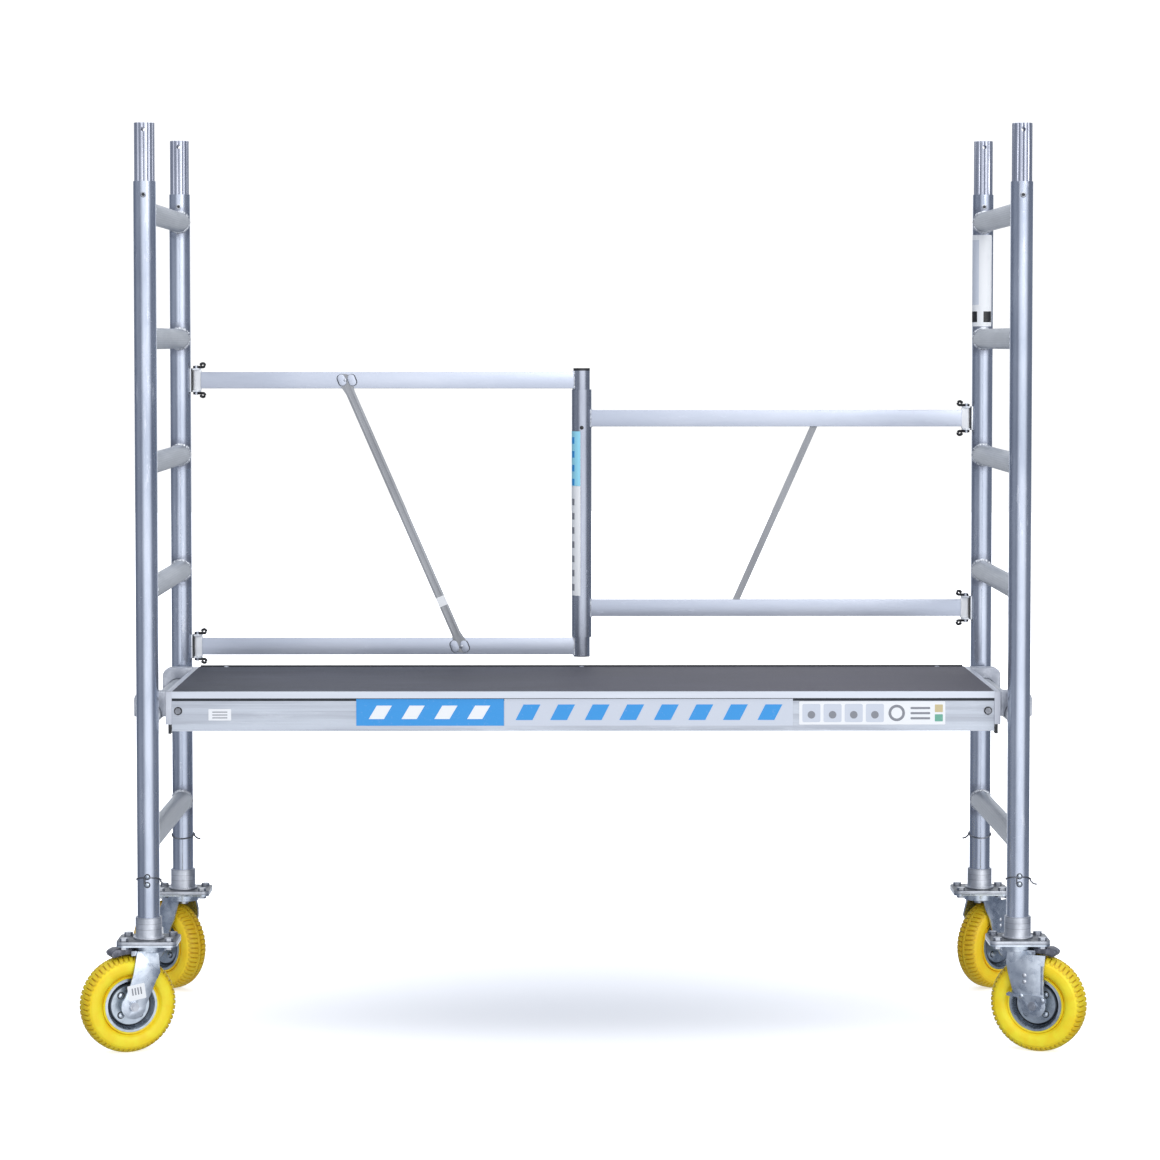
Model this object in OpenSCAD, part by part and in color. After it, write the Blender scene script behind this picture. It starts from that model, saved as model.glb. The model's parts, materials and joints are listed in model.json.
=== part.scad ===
// Mobile folding room scaffold: two ladder frames on swivel casters, a hook-on
// platform between them and a folding guard frame along the rear side.
// Right is +X, rear is +Y, up is +Z; the origin is on the floor, midway between the stiles.

/* [Ladder frames] */
// Distance between the two ladder frames, centre to centre
bay_length = 1940; // [1400:10:2600]
// Distance between the two stiles of a ladder, centre to centre
stile_pitch = 700; // [600:10:1100]
// Outside diameter of a stile tube
stile_od = 50; // [48:1:60]
// Wall of a stile tube
stile_wall = 2; // [1.5:0.5:3]
// Outside diameter of a rung
rung_od = 48; // [30:1:48]
// Wall of a rung
rung_wall = 2; // [1.5:0.5:3]
// Number of rungs in a ladder
rung_count = 6; // [6:1:8]
// Height of the lowest rung above the floor
first_rung = 467; // [440:1:520]
// Distance from rung to rung
rung_pitch = 280; // [230:1:340]
// Height of the stile tubes above the centre of the top rung
stile_over_rung = 67; // [66:1:360]

/* [Spigots] */
// Radial gap between a spigot's bare end and the bore of the stile that goes over it
spigot_gap = 0.3; // [0.1:0.1:1]
// Wall of a spigot
spigot_wall = 3; // [2:0.5:5]
// Length of spigot that stands above its stile
spigot_out = 129; // [80:1:200]
// Length of spigot inside its stile
spigot_in = 110; // [60:1:180]
// Diameter of the cross hole for a locking pin
spigot_hole = 10; // [6:1:14]
// Distance from the spigot's top down to the cross hole
spigot_hole_drop = 15; // [10:1:30]
// Diameter of the rivet that holds a spigot in its stile
rivet_d = 8; // [5:1:12]
// Distance from the stile's top down to the rivet
rivet_drop = 30; // [20:1:50]

/* [Caster sockets] */
// Wall of the socket's collar
socket_wall = 4.5; // [3:0.5:8]
// Height of the collar above the flange
socket_h = 48; // [30:1:70]
// Thickness of the socket's flange
flange_t = 8; // [5:1:12]
// Bolt spacing along the bay
plate_bolt_x = 100; // [85:1:120]
// Bolt spacing across the bay
plate_bolt_y = 80; // [75:1:100]
// Corner radius of flange and caster plate
plate_corner = 17; // [14:1:22]
// Diameter of the plate bolts
plate_bolt_d = 10; // [8:1:12]
// Thickness of the caster's own plate
plate_t = 4; // [3:1:6]
// Outside diameter of the swivel race under the plate
race_d = 76; // [60:1:84]
// Height of the swivel race
race_h = 10.5; // [9:0.5:14]

/* [Casters] */
// Diameter of a wheel over its tyre
wheel_d = 216; // [180:1:260]
// Width of a tyre
tyre_w = 65; // [50:1:70]
// Inside diameter of a tyre, at its seat on the rim
tyre_seat_d = 114; // [108:1:116]
// Distance from the swivel axis back to the axle
trail = 50; // [40:1:55]
// Clear width between the fork's legs
fork_gap = 80; // [76:1:92]
// Thickness of the fork's plate
fork_t = 4; // [3:0.5:5]
// Gap between the tyre and the underside of the fork's crown
crown_gap = 7; // [5:1:12]
// Diameter of the axle bolt
axle_d = 12; // [10:1:16]
// Diameter of the king pin
king_d = 16; // [12:1:20]
// Radial running clearance of every turning pin
pin_clear = 0.05; // [0.03:0.01:0.1]
// Flat gap between pieces that turn on each other
turn_gap = 0.4; // [0.3:0.1:1]
// Width of the brake pedal
pedal_w = 46; // [30:1:48]
// Gap between the released brake shoe and the tyre
shoe_gap = 5; // [4:0.5:7]

/* [Platform] */
// Gap between the platform's side beams and the stiles
deck_side_gap = 25; // [20:1:60]
// Height of a side beam
beam_h = 89; // [70:1:110]
// Height of the deck's top above the centre of the rung it rests on
deck_over_rung = 50; // [40:1:60]
// Thickness of the deck board
deck_t = 12; // [9:1:13]
// Thickness of an end member along the bay
end_member_t = 14; // [8:1:16]
// Width of a claw across the bay
claw_w = 44; // [30:1:60]
// Wall of a claw outside its rung
claw_wall = 12; // [8:1:14]
// Wall of a claw between its rung and the end member
claw_jaw = 9.6; // [8:0.1:14]
// Radial gap between a claw and its rung
claw_gap = 0.4; // [0.3:0.1:1]
// Number of cross members under the deck
cross_count = 4; // [2:1:6]

/* [Guard frame] */
// Height of a rail's section
rail_h = 40; // [30:1:45]
// Depth of a rail's section
rail_d = 20; // [16:1:24]
// Wall of a rail
rail_wall = 1.6; // [1.2:0.1:2.5]
// Height of the left half's bottom rail above the deck, to the rail's centre
guard_over_deck = 45; // [36:1:70]
// Distance between the left half's rails, centre to centre
left_rail_gap = 645; // [540:1:700]
// Distance from the left half's top rail down to the right half's
right_rail_drop = 92; // [88:1:120]
// Distance from the left half's bottom rail up to the right half's
right_rail_rise = 93; // [88:1:120]
// Outside diameter of the left half's post
post_od = 40; // [36:1:44]
// Wall of the left half's post
post_wall = 2; // [1.5:0.5:3]
// Outside diameter of the right half's sleeve post
sleeve_od = 48; // [48:1:56]
// Distance from a stile's face to its hinge pin
pin_reach = 13; // [13:1:20]
// Diameter of the hinge pins
pin_d = 8; // [6:1:10]
// Thickness of a hinge bracket's plates
bracket_t = 4; // [3:0.5:4.5]
// Depth of a hinge bracket's ears
bracket_d = 24; // [22:1:34]
// Width of the left half's brace
left_brace_w = 22; // [16:1:26]
// Thickness of the left half's brace
left_brace_t = 5; // [3:0.5:8]
// Distance from the post to the top end of the left half's brace
left_brace_far = 572; // [500:1:580]
// Distance from the post to the lower end of the left half's brace
left_brace_near = 291; // [200:1:400]
// Width of the right half's brace
right_brace_w = 16; // [12:1:24]
// Thickness of the right half's brace
right_brace_t = 6; // [3:0.5:10]
// Distance from the post to the top end of the right half's brace
right_brace_far = 562; // [500:1:580]
// Distance from the post to the lower end of the right half's brace
right_brace_near = 375; // [200:1:400]
// Diameter of the spring wire of the clips
wire_d = 3; // [2:0.5:4]

/* [Hidden] */
$fn = 64;

aluminium = "#c4c8cd";
zinc = "#b4bcc4";
steel = "#8d949b";
black = "#2a2b2d";
eps = 0.01;

// Corners of the bay, as signs of X and Y: front left, front right, rear right, rear left
CORNERS = [[-1, -1], [1, -1], [1, 1], [-1, 1]];
// Direction in which each caster trails when the scaffold stands at rest
CASTER_ANGLES = [205, -25, 40, 140];

// Ladder heights
rung_heights = [for (i = [0:rung_count - 1]) first_rung + i * rung_pitch];
stile_top = rung_heights[rung_count - 1] + stile_over_rung;
stile_bore = stile_od - 2 * stile_wall;
spigot_seat_gap = 0.05;
spigot_step = 1;
spigot_od = stile_bore - 2 * spigot_gap;
spigot_top = stile_top + spigot_out;
rivet_z = stile_top - rivet_drop;

// Caster heights, from the floor up
wheel_r = wheel_d / 2;
crown_bottom = wheel_d + crown_gap;
crown_top = crown_bottom + fork_t + 1;
race_bottom = crown_top + turn_gap;
plate_bottom = race_bottom + race_h;
flange_bottom = plate_bottom + plate_t;
flange_top = flange_bottom + flange_t;
socket_od = stile_od + 2 * socket_wall;
king_nut_h = 8;
king_nut_d = 26;
bolt_head_h = 0.65 * plate_bolt_d;

// Spring clips that lock the stiles
clip_z = flange_top + 136;
clip_step = 16;
clip_nose_d = 6;
clip_finger = 24;

// Fork
leg_kink = wheel_r + 72;
leg_out = fork_gap / 2 + fork_t;
crown_half = 30;
axle_boss_r = 28;
brake_step = wheel_d + 3;
pedal_pin = [44, crown_bottom - 1];
pedal_pin_d = 6;
pedal_ear_t = 3;
hub_d = 34;
hub_half = fork_gap / 2 - turn_gap;

// Rim and tyre
lip_t = 2;
lip_half = 0.37 * tyre_w;
rim_disc_r = 44;
rim_disc_half = 18;
rim_bolt_pcd = 62;
rim_bolt_d = 6;
rim_bolt_slack = 0.05;
tyre_lip_r = tyre_seat_d / 2 + 3.4;
tyre_round = 0.44 * min(tyre_w, wheel_r - tyre_lip_r);

// Platform heights and places
deck_rung = rung_heights[1];
deck_top = deck_rung + deck_over_rung;
beam_bottom = deck_top - beam_h;
deck_under = deck_top - deck_t;
deck_width = stile_pitch - stile_od - 2 * deck_side_gap;
beam_length = bay_length - rung_od - 2 * (claw_gap + claw_jaw + end_member_t);
beam_flange_t = 4;
beam_web_t = 4;
beam_lip_t = 6;
beam_lip_h = 15;
beam_web_inset = 4;
beam_flange_w = 40;
rib_h = 1.2;
rib_count = 9;
claw_start = beam_length / 2 + end_member_t;
claw_end = bay_length / 2 + rung_od / 2 + claw_gap + claw_wall;
claw_drop = 6;
end_member_drop = 15;
claw_corner = 18;
beam_bolt_d = 8;
beam_bolt_z = deck_top - 0.49 * beam_h;
bolt_places = [-beam_length / 2 + 14, beam_length / 2 - 14];
stop_t = 6;
stop_w = 30;
stop_h = 21;

// Guard frame places
rear_y = stile_pitch / 2;
left_bottom = deck_top + guard_over_deck;
left_top = left_bottom + left_rail_gap;
right_top = left_top - right_rail_drop;
right_bottom = left_bottom + right_rail_rise;
pin_offset = stile_od / 2 + pin_reach;
hinge_x = bay_length / 2 - pin_offset;
post_bottom = left_bottom - rail_h / 2 - 4;
post_top = left_top + rail_h / 2 + 3;
sleeve_rise = 2.5;
sleeve_bottom = left_bottom + rail_h / 2 + sleeve_rise;
sleeve_top = left_top - rail_h / 2 - sleeve_rise;
sleeve_bore = post_od + 2 * 0.3;
knuckle_h = 48;
knuckle_r = 8;
knuckle_neck = 12;
knuckle_plug = 40;
ear_gap = 0.5;
ear_inner = knuckle_h / 2 + ear_gap;
ear_outer = ear_inner + bracket_t;
pin_half = ear_outer + 7;
clip_level = ear_outer + wire_d / 2 + 1;

// ---- shared shapes ----

module tube(od, wall, h) {
    difference() {
        cylinder(d = od, h = h);
        translate([0, 0, -1]) cylinder(d = od - 2 * wall, h = h + 2);
    }
}

// A cylinder along Y, centred
module pin_y(d, h) {
    rotate([90, 0, 0]) cylinder(d = d, h = h, center = true);
}

// A flat rectangle with round corners, from squares and circles only
module round_rect(x, y, r) {
    square([x, y - 2 * r], center = true);
    square([x - 2 * r, y], center = true);
    for (sx = [-1, 1], sy = [-1, 1]) translate([sx * (x / 2 - r), sy * (y / 2 - r)]) circle(r);
}

// A hexagonal head or nut standing on z = 0
module hex(across, h) {
    cylinder(d = across / cos(30), h = h, $fn = 6);
}

module at_corners() {
    for (c = CORNERS) translate([c[0] * bay_length / 2, c[1] * stile_pitch / 2, 0]) children();
}

module at_caster(i) {
    translate([CORNERS[i][0] * bay_length / 2, CORNERS[i][1] * stile_pitch / 2, 0])
        rotate([0, 0, CASTER_ANGLES[i]]) children();
}

// ---- ladder frames ----

module stile(i) {
    c = CORNERS[i];
    color(aluminium)
        translate([c[0] * bay_length / 2, c[1] * stile_pitch / 2, 0]) difference() {
            translate([0, 0, flange_top]) tube(stile_od, stile_wall, stile_top - flange_top);
            translate([0, 0, rivet_z]) pin_y(rivet_d, stile_od + 2);
            translate([0, c[1] * stile_od / 2, clip_z - clip_step]) pin_y(clip_nose_d, stile_od / 2);
        }
}

module rungs(side) {
    color(aluminium) for (z = rung_heights)
        translate([side * bay_length / 2, 0, z]) difference() {
            rotate([90, 0, 0]) translate([0, 0, -stile_pitch / 2]) tube(rung_od, rung_wall, stile_pitch);
            for (s = [-1, 1]) translate([0, s * stile_pitch / 2, -stile_od])
                cylinder(d = stile_od, h = 2 * stile_od);
        }
}

module spigots() {
    color(aluminium) at_corners() difference() {
        union() {
            translate([0, 0, stile_top - spigot_in])
                tube(stile_bore - 2 * spigot_seat_gap, spigot_wall, spigot_in + spigot_step);
            translate([0, 0, stile_top]) tube(spigot_od, spigot_wall, spigot_out);
        }
        translate([0, 0, spigot_top - spigot_hole_drop]) pin_y(spigot_hole, spigot_od + 2);
        translate([0, 0, rivet_z]) pin_y(rivet_d, stile_od + 2);
    }
}

module spigot_rivets() {
    color(steel) at_corners() translate([0, 0, rivet_z]) pin_y(rivet_d, stile_od - 2);
}

// ---- caster sockets and plates ----

module plate_outline() {
    difference() {
        round_rect(plate_bolt_x + 2 * plate_corner, plate_bolt_y + 2 * plate_corner, plate_corner);
        for (sx = [-1, 1], sy = [-1, 1])
            translate([sx * plate_bolt_x / 2, sy * plate_bolt_y / 2]) circle(d = plate_bolt_d);
    }
}

module caster_sockets() {
    ring_h = 4;
    ring_d = socket_od + 10;
    color(aluminium) at_corners() difference() {
        union() {
            translate([0, 0, flange_bottom]) linear_extrude(flange_t) plate_outline();
            translate([0, 0, flange_top - eps]) cylinder(d = ring_d, h = ring_h + eps);
            translate([0, 0, flange_top - eps]) cylinder(d = socket_od, h = socket_h + eps);
        }
        translate([0, 0, flange_top]) cylinder(d = stile_od, h = socket_h + 1);
        translate([0, 0, flange_bottom - 1]) cylinder(d = king_nut_d + 6, h = flange_t + 2);
    }
}

module caster_plates() {
    color(zinc) at_corners() difference() {
        union() {
            translate([0, 0, plate_bottom]) linear_extrude(plate_t) plate_outline();
            translate([0, 0, race_bottom]) cylinder(d = race_d, h = race_h + eps);
        }
        translate([0, 0, race_bottom - 1]) cylinder(d = king_d, h = race_h + plate_t + 2);
    }
}

module king_pins() {
    color(steel) at_corners() {
        translate([0, 0, crown_bottom - turn_gap - king_nut_h]) cylinder(d = king_nut_d, h = king_nut_h);
        translate([0, 0, crown_bottom - turn_gap - eps])
            cylinder(d = king_d, h = flange_bottom + king_nut_h - crown_bottom + turn_gap);
        translate([0, 0, flange_bottom]) cylinder(d = king_nut_d, h = king_nut_h);
    }
}

module plate_bolts() {
    across = 1.7 * plate_bolt_d;
    color(steel) at_corners() for (sx = [-1, 1], sy = [-1, 1])
        translate([sx * plate_bolt_x / 2, sy * plate_bolt_y / 2, 0]) {
            translate([0, 0, flange_top]) hex(across, bolt_head_h);
            translate([0, 0, plate_bottom - bolt_head_h]) hex(across, bolt_head_h);
            translate([0, 0, plate_bottom - bolt_head_h])
                cylinder(d = plate_bolt_d, h = plate_t + flange_t + 2 * bolt_head_h);
        }
}

// ---- spring clips that lock the stiles ----

// One wire ring round a stile, with a lead to its nose and a finger to pull
module lock_clip(turn, finger_turn) {
    ring_r = (stile_od + wire_d) / 2 + 0.05;
    translate([0, 0, clip_z]) rotate_extrude() translate([ring_r, 0]) circle(d = wire_d);
    rotate([0, 0, turn]) {
        translate([ring_r, 0, clip_z - clip_step]) cylinder(d = wire_d, h = clip_step);
        translate([stile_od / 2 - stile_wall - 2, 0, clip_z - clip_step])
            rotate([0, 90, 0]) cylinder(d = clip_nose_d, h = ring_r - stile_od / 2 + stile_wall + 3.5);
    }
    rotate([0, 0, finger_turn]) translate([ring_r, 0, clip_z]) rotate([0, 68, 0])
        cylinder(d = wire_d, h = clip_finger);
}

module lock_clips() {
    finger_turns = [-60, -60, 180, 0];
    color(steel) for (i = [0:3])
        translate([CORNERS[i][0] * bay_length / 2, CORNERS[i][1] * stile_pitch / 2, 0])
            lock_clip(CORNERS[i][1] * 90, finger_turns[i]);
}

// ---- hinges of the guard frame ----

// U bracket on a right-hand side: its back on the stile, its ears towards +X
module hinge_bracket(slot) {
    back_x = stile_od / 2;
    difference() {
        union() {
            translate([back_x - 2, -bracket_d / 2, -ear_outer])
                cube([bracket_t + 2, bracket_d, 2 * ear_outer]);
            for (z = [-ear_outer, ear_inner])
                translate([0, 0, z]) {
                    translate([back_x, -bracket_d / 2, 0]) cube([pin_offset - back_x, bracket_d, bracket_t]);
                    translate([pin_offset, 0, 0]) cylinder(d = bracket_d, h = bracket_t);
                }
        }
        translate([0, 0, -ear_outer - 1]) cylinder(d = stile_od, h = 2 * ear_outer + 2);
        if (slot) {
            translate([pin_offset, 0, -ear_outer - 1]) cylinder(d = pin_d + 1.2, h = 2 * ear_outer + 2);
            translate([pin_offset, -pin_d / 2 - 0.6, -ear_outer - 1])
                cube([bracket_d, pin_d + 1.2, 2 * ear_outer + 2]);
        } else {
            translate([pin_offset, 0, -ear_outer - 1]) cylinder(d = pin_d, h = 2 * ear_outer + 2);
        }
    }
}

module left_hinge_brackets() {
    color(zinc) for (z = [left_top, left_bottom])
        translate([-bay_length / 2, rear_y, z]) hinge_bracket(false);
}

module right_hinge_brackets() {
    color(zinc) for (z = [right_top, right_bottom])
        translate([bay_length / 2, rear_y, z]) mirror([1, 0, 0]) hinge_bracket(true);
}

module hinge_pin() {
    difference() {
        translate([0, 0, -pin_half]) cylinder(d = pin_d, h = 2 * pin_half);
        for (s = [-1, 1]) translate([0, 0, s * clip_level]) rotate([0, 90, 0])
            cylinder(d = wire_d, h = pin_d + 2, center = true);
    }
}

// Hairpin clip: a straight leg through the pin and a bow beside it
module hinge_clip() {
    bow = 6;
    reach = 20;
    translate([-pin_d / 2 - 3, 0, 0]) rotate([0, 90, 0]) cylinder(d = wire_d, h = reach + pin_d / 2 + 3);
    translate([reach, -bow, 0]) rotate([0, 0, -90]) rotate_extrude(angle = 180)
        translate([bow, 0]) circle(d = wire_d);
    translate([pin_d / 2 + 2, -2 * bow, 0]) rotate([0, 90, 0])
        cylinder(d = wire_d, h = reach - pin_d / 2 - 2);
}

module hinge_clips(levels) {
    for (z = levels, s = [-1, 1]) translate([0, 0, z + s * clip_level]) hinge_clip();
}

module left_hinge_pins() {
    color(steel) for (z = [left_top, left_bottom]) translate([-hinge_x, rear_y, z]) hinge_pin();
}

module right_hinge_pins() {
    color(steel) for (z = [right_top, right_bottom]) translate([hinge_x, rear_y, z]) hinge_pin();
}

module left_hinge_clips() {
    color(black) translate([-hinge_x, rear_y, 0]) hinge_clips([left_top, left_bottom]);
}

module right_hinge_clips() {
    color(black) translate([hinge_x, rear_y, 0]) mirror([1, 0, 0]) hinge_clips([right_top, right_bottom]);
}

// Knuckle with its plug in the rail, for a rail that runs to +X; bore is its pin's
module knuckle(bore) {
    difference() {
        union() {
            cylinder(r = knuckle_r, h = knuckle_h, center = true);
            translate([0, -knuckle_r, -knuckle_h / 2]) cube([knuckle_neck, 2 * knuckle_r, knuckle_h]);
            translate([knuckle_neck - eps, -rail_d / 2 + rail_wall, -rail_h / 2 + rail_wall])
                cube([knuckle_plug, rail_d - 2 * rail_wall, rail_h - 2 * rail_wall]);
        }
        cylinder(d = bore, h = knuckle_h + 2, center = true);
    }
}

module left_knuckles() {
    color("#e4e6e8") for (z = [left_top, left_bottom])
        translate([-hinge_x, rear_y, z]) knuckle(pin_d + 2 * pin_clear);
}

module right_knuckles() {
    color("#e4e6e8") for (z = [right_top, right_bottom])
        translate([hinge_x, rear_y, z]) mirror([1, 0, 0]) knuckle(pin_d);
}

// ---- rails, posts and braces of the guard frame ----

// Rectangular tube along X from x0 to x1 at height z
module rail(x0, x1, z) {
    translate([x0, rear_y, z]) rotate([90, 0, 90]) linear_extrude(x1 - x0) difference() {
        square([rail_d, rail_h], center = true);
        square([rail_d - 2 * rail_wall, rail_h - 2 * rail_wall], center = true);
    }
}

module left_rail(z) {
    color(aluminium) difference() {
        rail(-hinge_x + knuckle_neck, 0, z);
        translate([0, rear_y, z - rail_h]) cylinder(d = post_od, h = 2 * rail_h);
    }
}

module right_rail(z) {
    color(aluminium) difference() {
        rail(0, hinge_x - knuckle_neck, z);
        translate([0, rear_y, z - rail_h]) cylinder(d = sleeve_od, h = 2 * rail_h);
    }
}

module inner_post() {
    color(aluminium) translate([0, rear_y, post_bottom]) tube(post_od, post_wall, post_top - post_bottom);
}

module post_caps() {
    cap_t = 6;
    color(black) for (end = [[post_top, 1], [post_bottom, -1]])
        translate([0, rear_y, end[0]]) rotate([end[1] > 0 ? 0 : 180, 0, 0]) {
            cylinder(d = post_od, h = end[1] > 0 ? cap_t : 1.5);
            translate([0, 0, -15]) cylinder(d = post_od - 2 * post_wall, h = 15 + eps);
        }
}

module outer_post() {
    color(aluminium) difference() {
        translate([0, rear_y, sleeve_bottom])
            tube(sleeve_od, (sleeve_od - sleeve_bore) / 2, sleeve_top - sleeve_bottom);
        translate([0, rear_y - sleeve_od / 2, right_top - 23]) pin_y(8, sleeve_od / 2);
    }
}

// Flat bar between two points of the X-Z plane, with round ends, y from y0 back
module bar(a, b, w, y0, t) {
    run = b - a;
    len = norm(run);
    translate([a[0], y0, a[1]]) rotate([0, -atan2(run[1], run[0]), 0]) rotate([90, 0, 0])
        translate([0, 0, -t]) linear_extrude(t) {
            translate([0, -w / 2]) square([len, w]);
            circle(d = w);
            translate([len, 0]) circle(d = w);
        }
}

module left_brace() {
    top = [-left_brace_far, left_top];
    low = [-left_brace_near, left_bottom];
    end_w = left_brace_w + 8;
    dir = (low - top) / norm(low - top);
    face = rear_y - rail_d / 2 - left_brace_t;
    color(aluminium) {
        bar(top, low, left_brace_w, face, left_brace_t);
        bar(top, top + dir * 12, end_w, face, left_brace_t);
        bar(low - dir * 12, low, end_w, face, left_brace_t);
    }
}

module right_brace() {
    top = [right_brace_far, right_top - rail_h / 2];
    low = [right_brace_near, right_bottom + rail_h / 2];
    past = 22 * (top - low) / norm(top - low);
    color(aluminium) intersection() {
        bar(top + past, low - past, right_brace_w, rear_y - right_brace_t / 2, right_brace_t);
        translate([0, 0, low[1]]) cube([bay_length / 2, bay_length, top[1] - low[1]]);
    }
}

// ---- platform ----

// Section of the front beam, as Y and Z; the outer face is at y = 0 and Y grows inward
module beam_section() {
    web_h = beam_h - beam_lip_h - beam_flange_t;
    translate([0, beam_h - beam_lip_h]) square([beam_lip_t, beam_lip_h]);
    translate([0, beam_h - beam_lip_h]) square([beam_flange_w, beam_lip_h - deck_t]);
    translate([beam_web_inset, 0]) square([beam_web_t, beam_h - beam_lip_h + eps]);
    translate([1, 0]) square([beam_flange_w - 1, beam_flange_t]);
    for (i = [1:rib_count])
        translate([beam_web_inset - rib_h, beam_flange_t + i * web_h / (rib_count + 1) - 1.5])
            square([rib_h + eps, 3]);
}

module beam(side) {
    bolt_y = side * deck_width / 2;
    color(aluminium) difference() {
        translate([-beam_length / 2, 0, beam_bottom]) rotate([90, 0, 90]) linear_extrude(beam_length)
            translate([side * deck_width / 2, 0]) mirror([side > 0 ? 1 : 0, 0]) beam_section();
        for (x = bolt_places) translate([x, bolt_y, beam_bolt_z]) pin_y(beam_bolt_d, 40);
    }
}

module deck_board() {
    slack = 0.5;
    color("#50535d") translate([-beam_length / 2, -deck_width / 2 + beam_lip_t + slack, deck_under])
        cube([beam_length, deck_width - 2 * (beam_lip_t + slack), deck_t]);
}

module end_members() {
    body_h = beam_h - 1 - end_member_drop;
    wall = 2.5;
    foot = 30;
    color(aluminium) for (s = [-1, 1]) mirror([s < 0 ? 1 : 0, 0, 0]) {
        translate([beam_length / 2, -deck_width / 2, deck_top - 1 - body_h]) difference() {
            cube([end_member_t, deck_width, body_h]);
            translate([wall, -1, wall]) cube([end_member_t - 2 * wall, deck_width + 2, body_h - 2 * wall]);
        }
        for (side = [-1, 1])
            translate([beam_length / 2 - foot, side * (deck_width / 2 - 14) - 6, beam_bolt_z - 12])
            difference() {
                cube([foot + eps, 12, 24]);
                translate([foot - 14, 6, 12]) pin_y(beam_bolt_d, 40);
            }
    }
}

// Section of a claw in the X-Z plane, for the right end; the rung's centre is at [0, 0]
module claw_section() {
    r = rung_od / 2 + claw_gap;
    left = claw_start - bay_length / 2;
    right = claw_end - bay_length / 2;
    corner = claw_corner;
    top = deck_over_rung;
    difference() {
        union() {
            translate([left, -claw_drop]) square([right - left - corner, top + claw_drop]);
            translate([left, -claw_drop]) square([right - left, top + claw_drop - corner]);
            translate([right - corner, top - corner]) circle(corner);
        }
        circle(r);
        translate([-r, -2 * r]) square([2 * r, 2 * r]);
    }
}

module platform_claws() {
    color("#b9bec4") for (s = [-1, 1], side = [-1, 1])
        translate([s * bay_length / 2, side * (deck_width - claw_w) / 2 + claw_w / 2, deck_rung])
            mirror([s < 0 ? 1 : 0, 0, 0]) rotate([90, 0, 0]) linear_extrude(claw_w) claw_section();
}

module cross_members() {
    w = 40;
    h = 25;
    wall = 2;
    span = deck_width - 2 * (beam_web_inset + beam_web_t);
    step = (beam_length - 360) / (cross_count - 1);
    z = deck_top - beam_lip_h - h;
    color(aluminium) for (i = [0:cross_count - 1])
        translate([-(beam_length - 360) / 2 + i * step, 0, z]) rotate([90, 0, 0])
            translate([0, 0, -span / 2]) linear_extrude(span) difference() {
                translate([-w / 2, 0]) square([w, h]);
                translate([-w / 2 + wall, wall]) square([w - 2 * wall, h - 2 * wall]);
            }
}

module beam_bolts() {
    across = 13;
    head_h = 5;
    color(steel) for (x = bolt_places, side = [-1, 1])
        translate([x, side * (deck_width / 2 - beam_web_inset + rib_h), beam_bolt_z])
            rotate([side * -90, 0, 0]) {
                hex(across, head_h);
                translate([0, 0, -18]) cylinder(d = beam_bolt_d, h = 18 + eps);
            }
}

module end_stops() {
    color(black) for (s = [-1, 1], side = [-1, 1])
        translate([s * (beam_length / 2 + stop_t / 2 + 2) - stop_t / 2,
                   side * (deck_width - stop_w) / 2 - stop_w / 2,
                   beam_bottom + end_member_drop - stop_h])
            cube([stop_t, stop_w, stop_h]);
}

// ---- casters: local frame with the swivel axis at x = 0 and the trail along +X ----

// Front view of the fork, as Y and Z: an arch whose legs spread round the tyre
module fork_arch() {
    inner_crown = crown_half - fork_t;
    difference() {
        polygon([[-leg_out, 0], [-leg_out, leg_kink], [-crown_half, crown_top],
                 [crown_half, crown_top], [leg_out, leg_kink], [leg_out, 0]]);
        polygon([[-fork_gap / 2, -1], [-fork_gap / 2, leg_kink], [-inner_crown, crown_bottom],
                 [inner_crown, crown_bottom], [fork_gap / 2, leg_kink], [fork_gap / 2, -1]]);
    }
}

// Side view of the plain leg, as X and Z
module plain_leg() {
    polygon([[-12, crown_top], [36, crown_top], [trail + 6, wheel_r + 52],
             [trail + axle_boss_r, wheel_r], [trail - axle_boss_r, wheel_r],
             [-2, wheel_r + 54], [-12, leg_kink]]);
    translate([trail, wheel_r]) circle(axle_boss_r);
}

// Side view of the leg with the brake's shield
module shield_leg() {
    polygon([[-14, crown_top], [30, crown_top], [30, brake_step], [trail + 24, brake_step],
             [trail + 24, wheel_r + 26], [trail + axle_boss_r, wheel_r], [trail - axle_boss_r, wheel_r],
             [2, wheel_r + 34], [-14, leg_kink + 20]]);
    translate([trail, wheel_r]) circle(axle_boss_r);
}

module leg(outline_side) {
    intersection() {
        rotate([90, 0, 90]) translate([0, 0, -trail]) linear_extrude(4 * trail) fork_arch();
        rotate([90, 0, 0]) translate([0, 0, outline_side > 0 ? -leg_out - 1 : 0])
            linear_extrude(leg_out + 1) children();
    }
}

module fork(i) {
    ear_w = pedal_w / 2 + 0.5;
    color(zinc) at_caster(i) difference() {
        union() {
            leg(1) plain_leg();
            leg(-1) shield_leg();
            translate([0, 0, crown_bottom]) cylinder(d = race_d - 2, h = crown_top - crown_bottom);
            for (s = [-1, 1]) translate([26, s > 0 ? ear_w : -ear_w - pedal_ear_t, crown_bottom - 5])
                cube([pedal_pin[0] - 26 + 5, pedal_ear_t, crown_top - crown_bottom + 5]);
        }
        translate([0, 0, crown_bottom - 1])
            cylinder(d = king_d + 2 * pin_clear, h = crown_top - crown_bottom + 2);
        translate([trail, 0, wheel_r]) pin_y(axle_d, 2 * leg_out + 2);
        translate([pedal_pin[0], 0, pedal_pin[1]]) pin_y(pedal_pin_d, 2 * leg_out + 2);
    }
}

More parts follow.
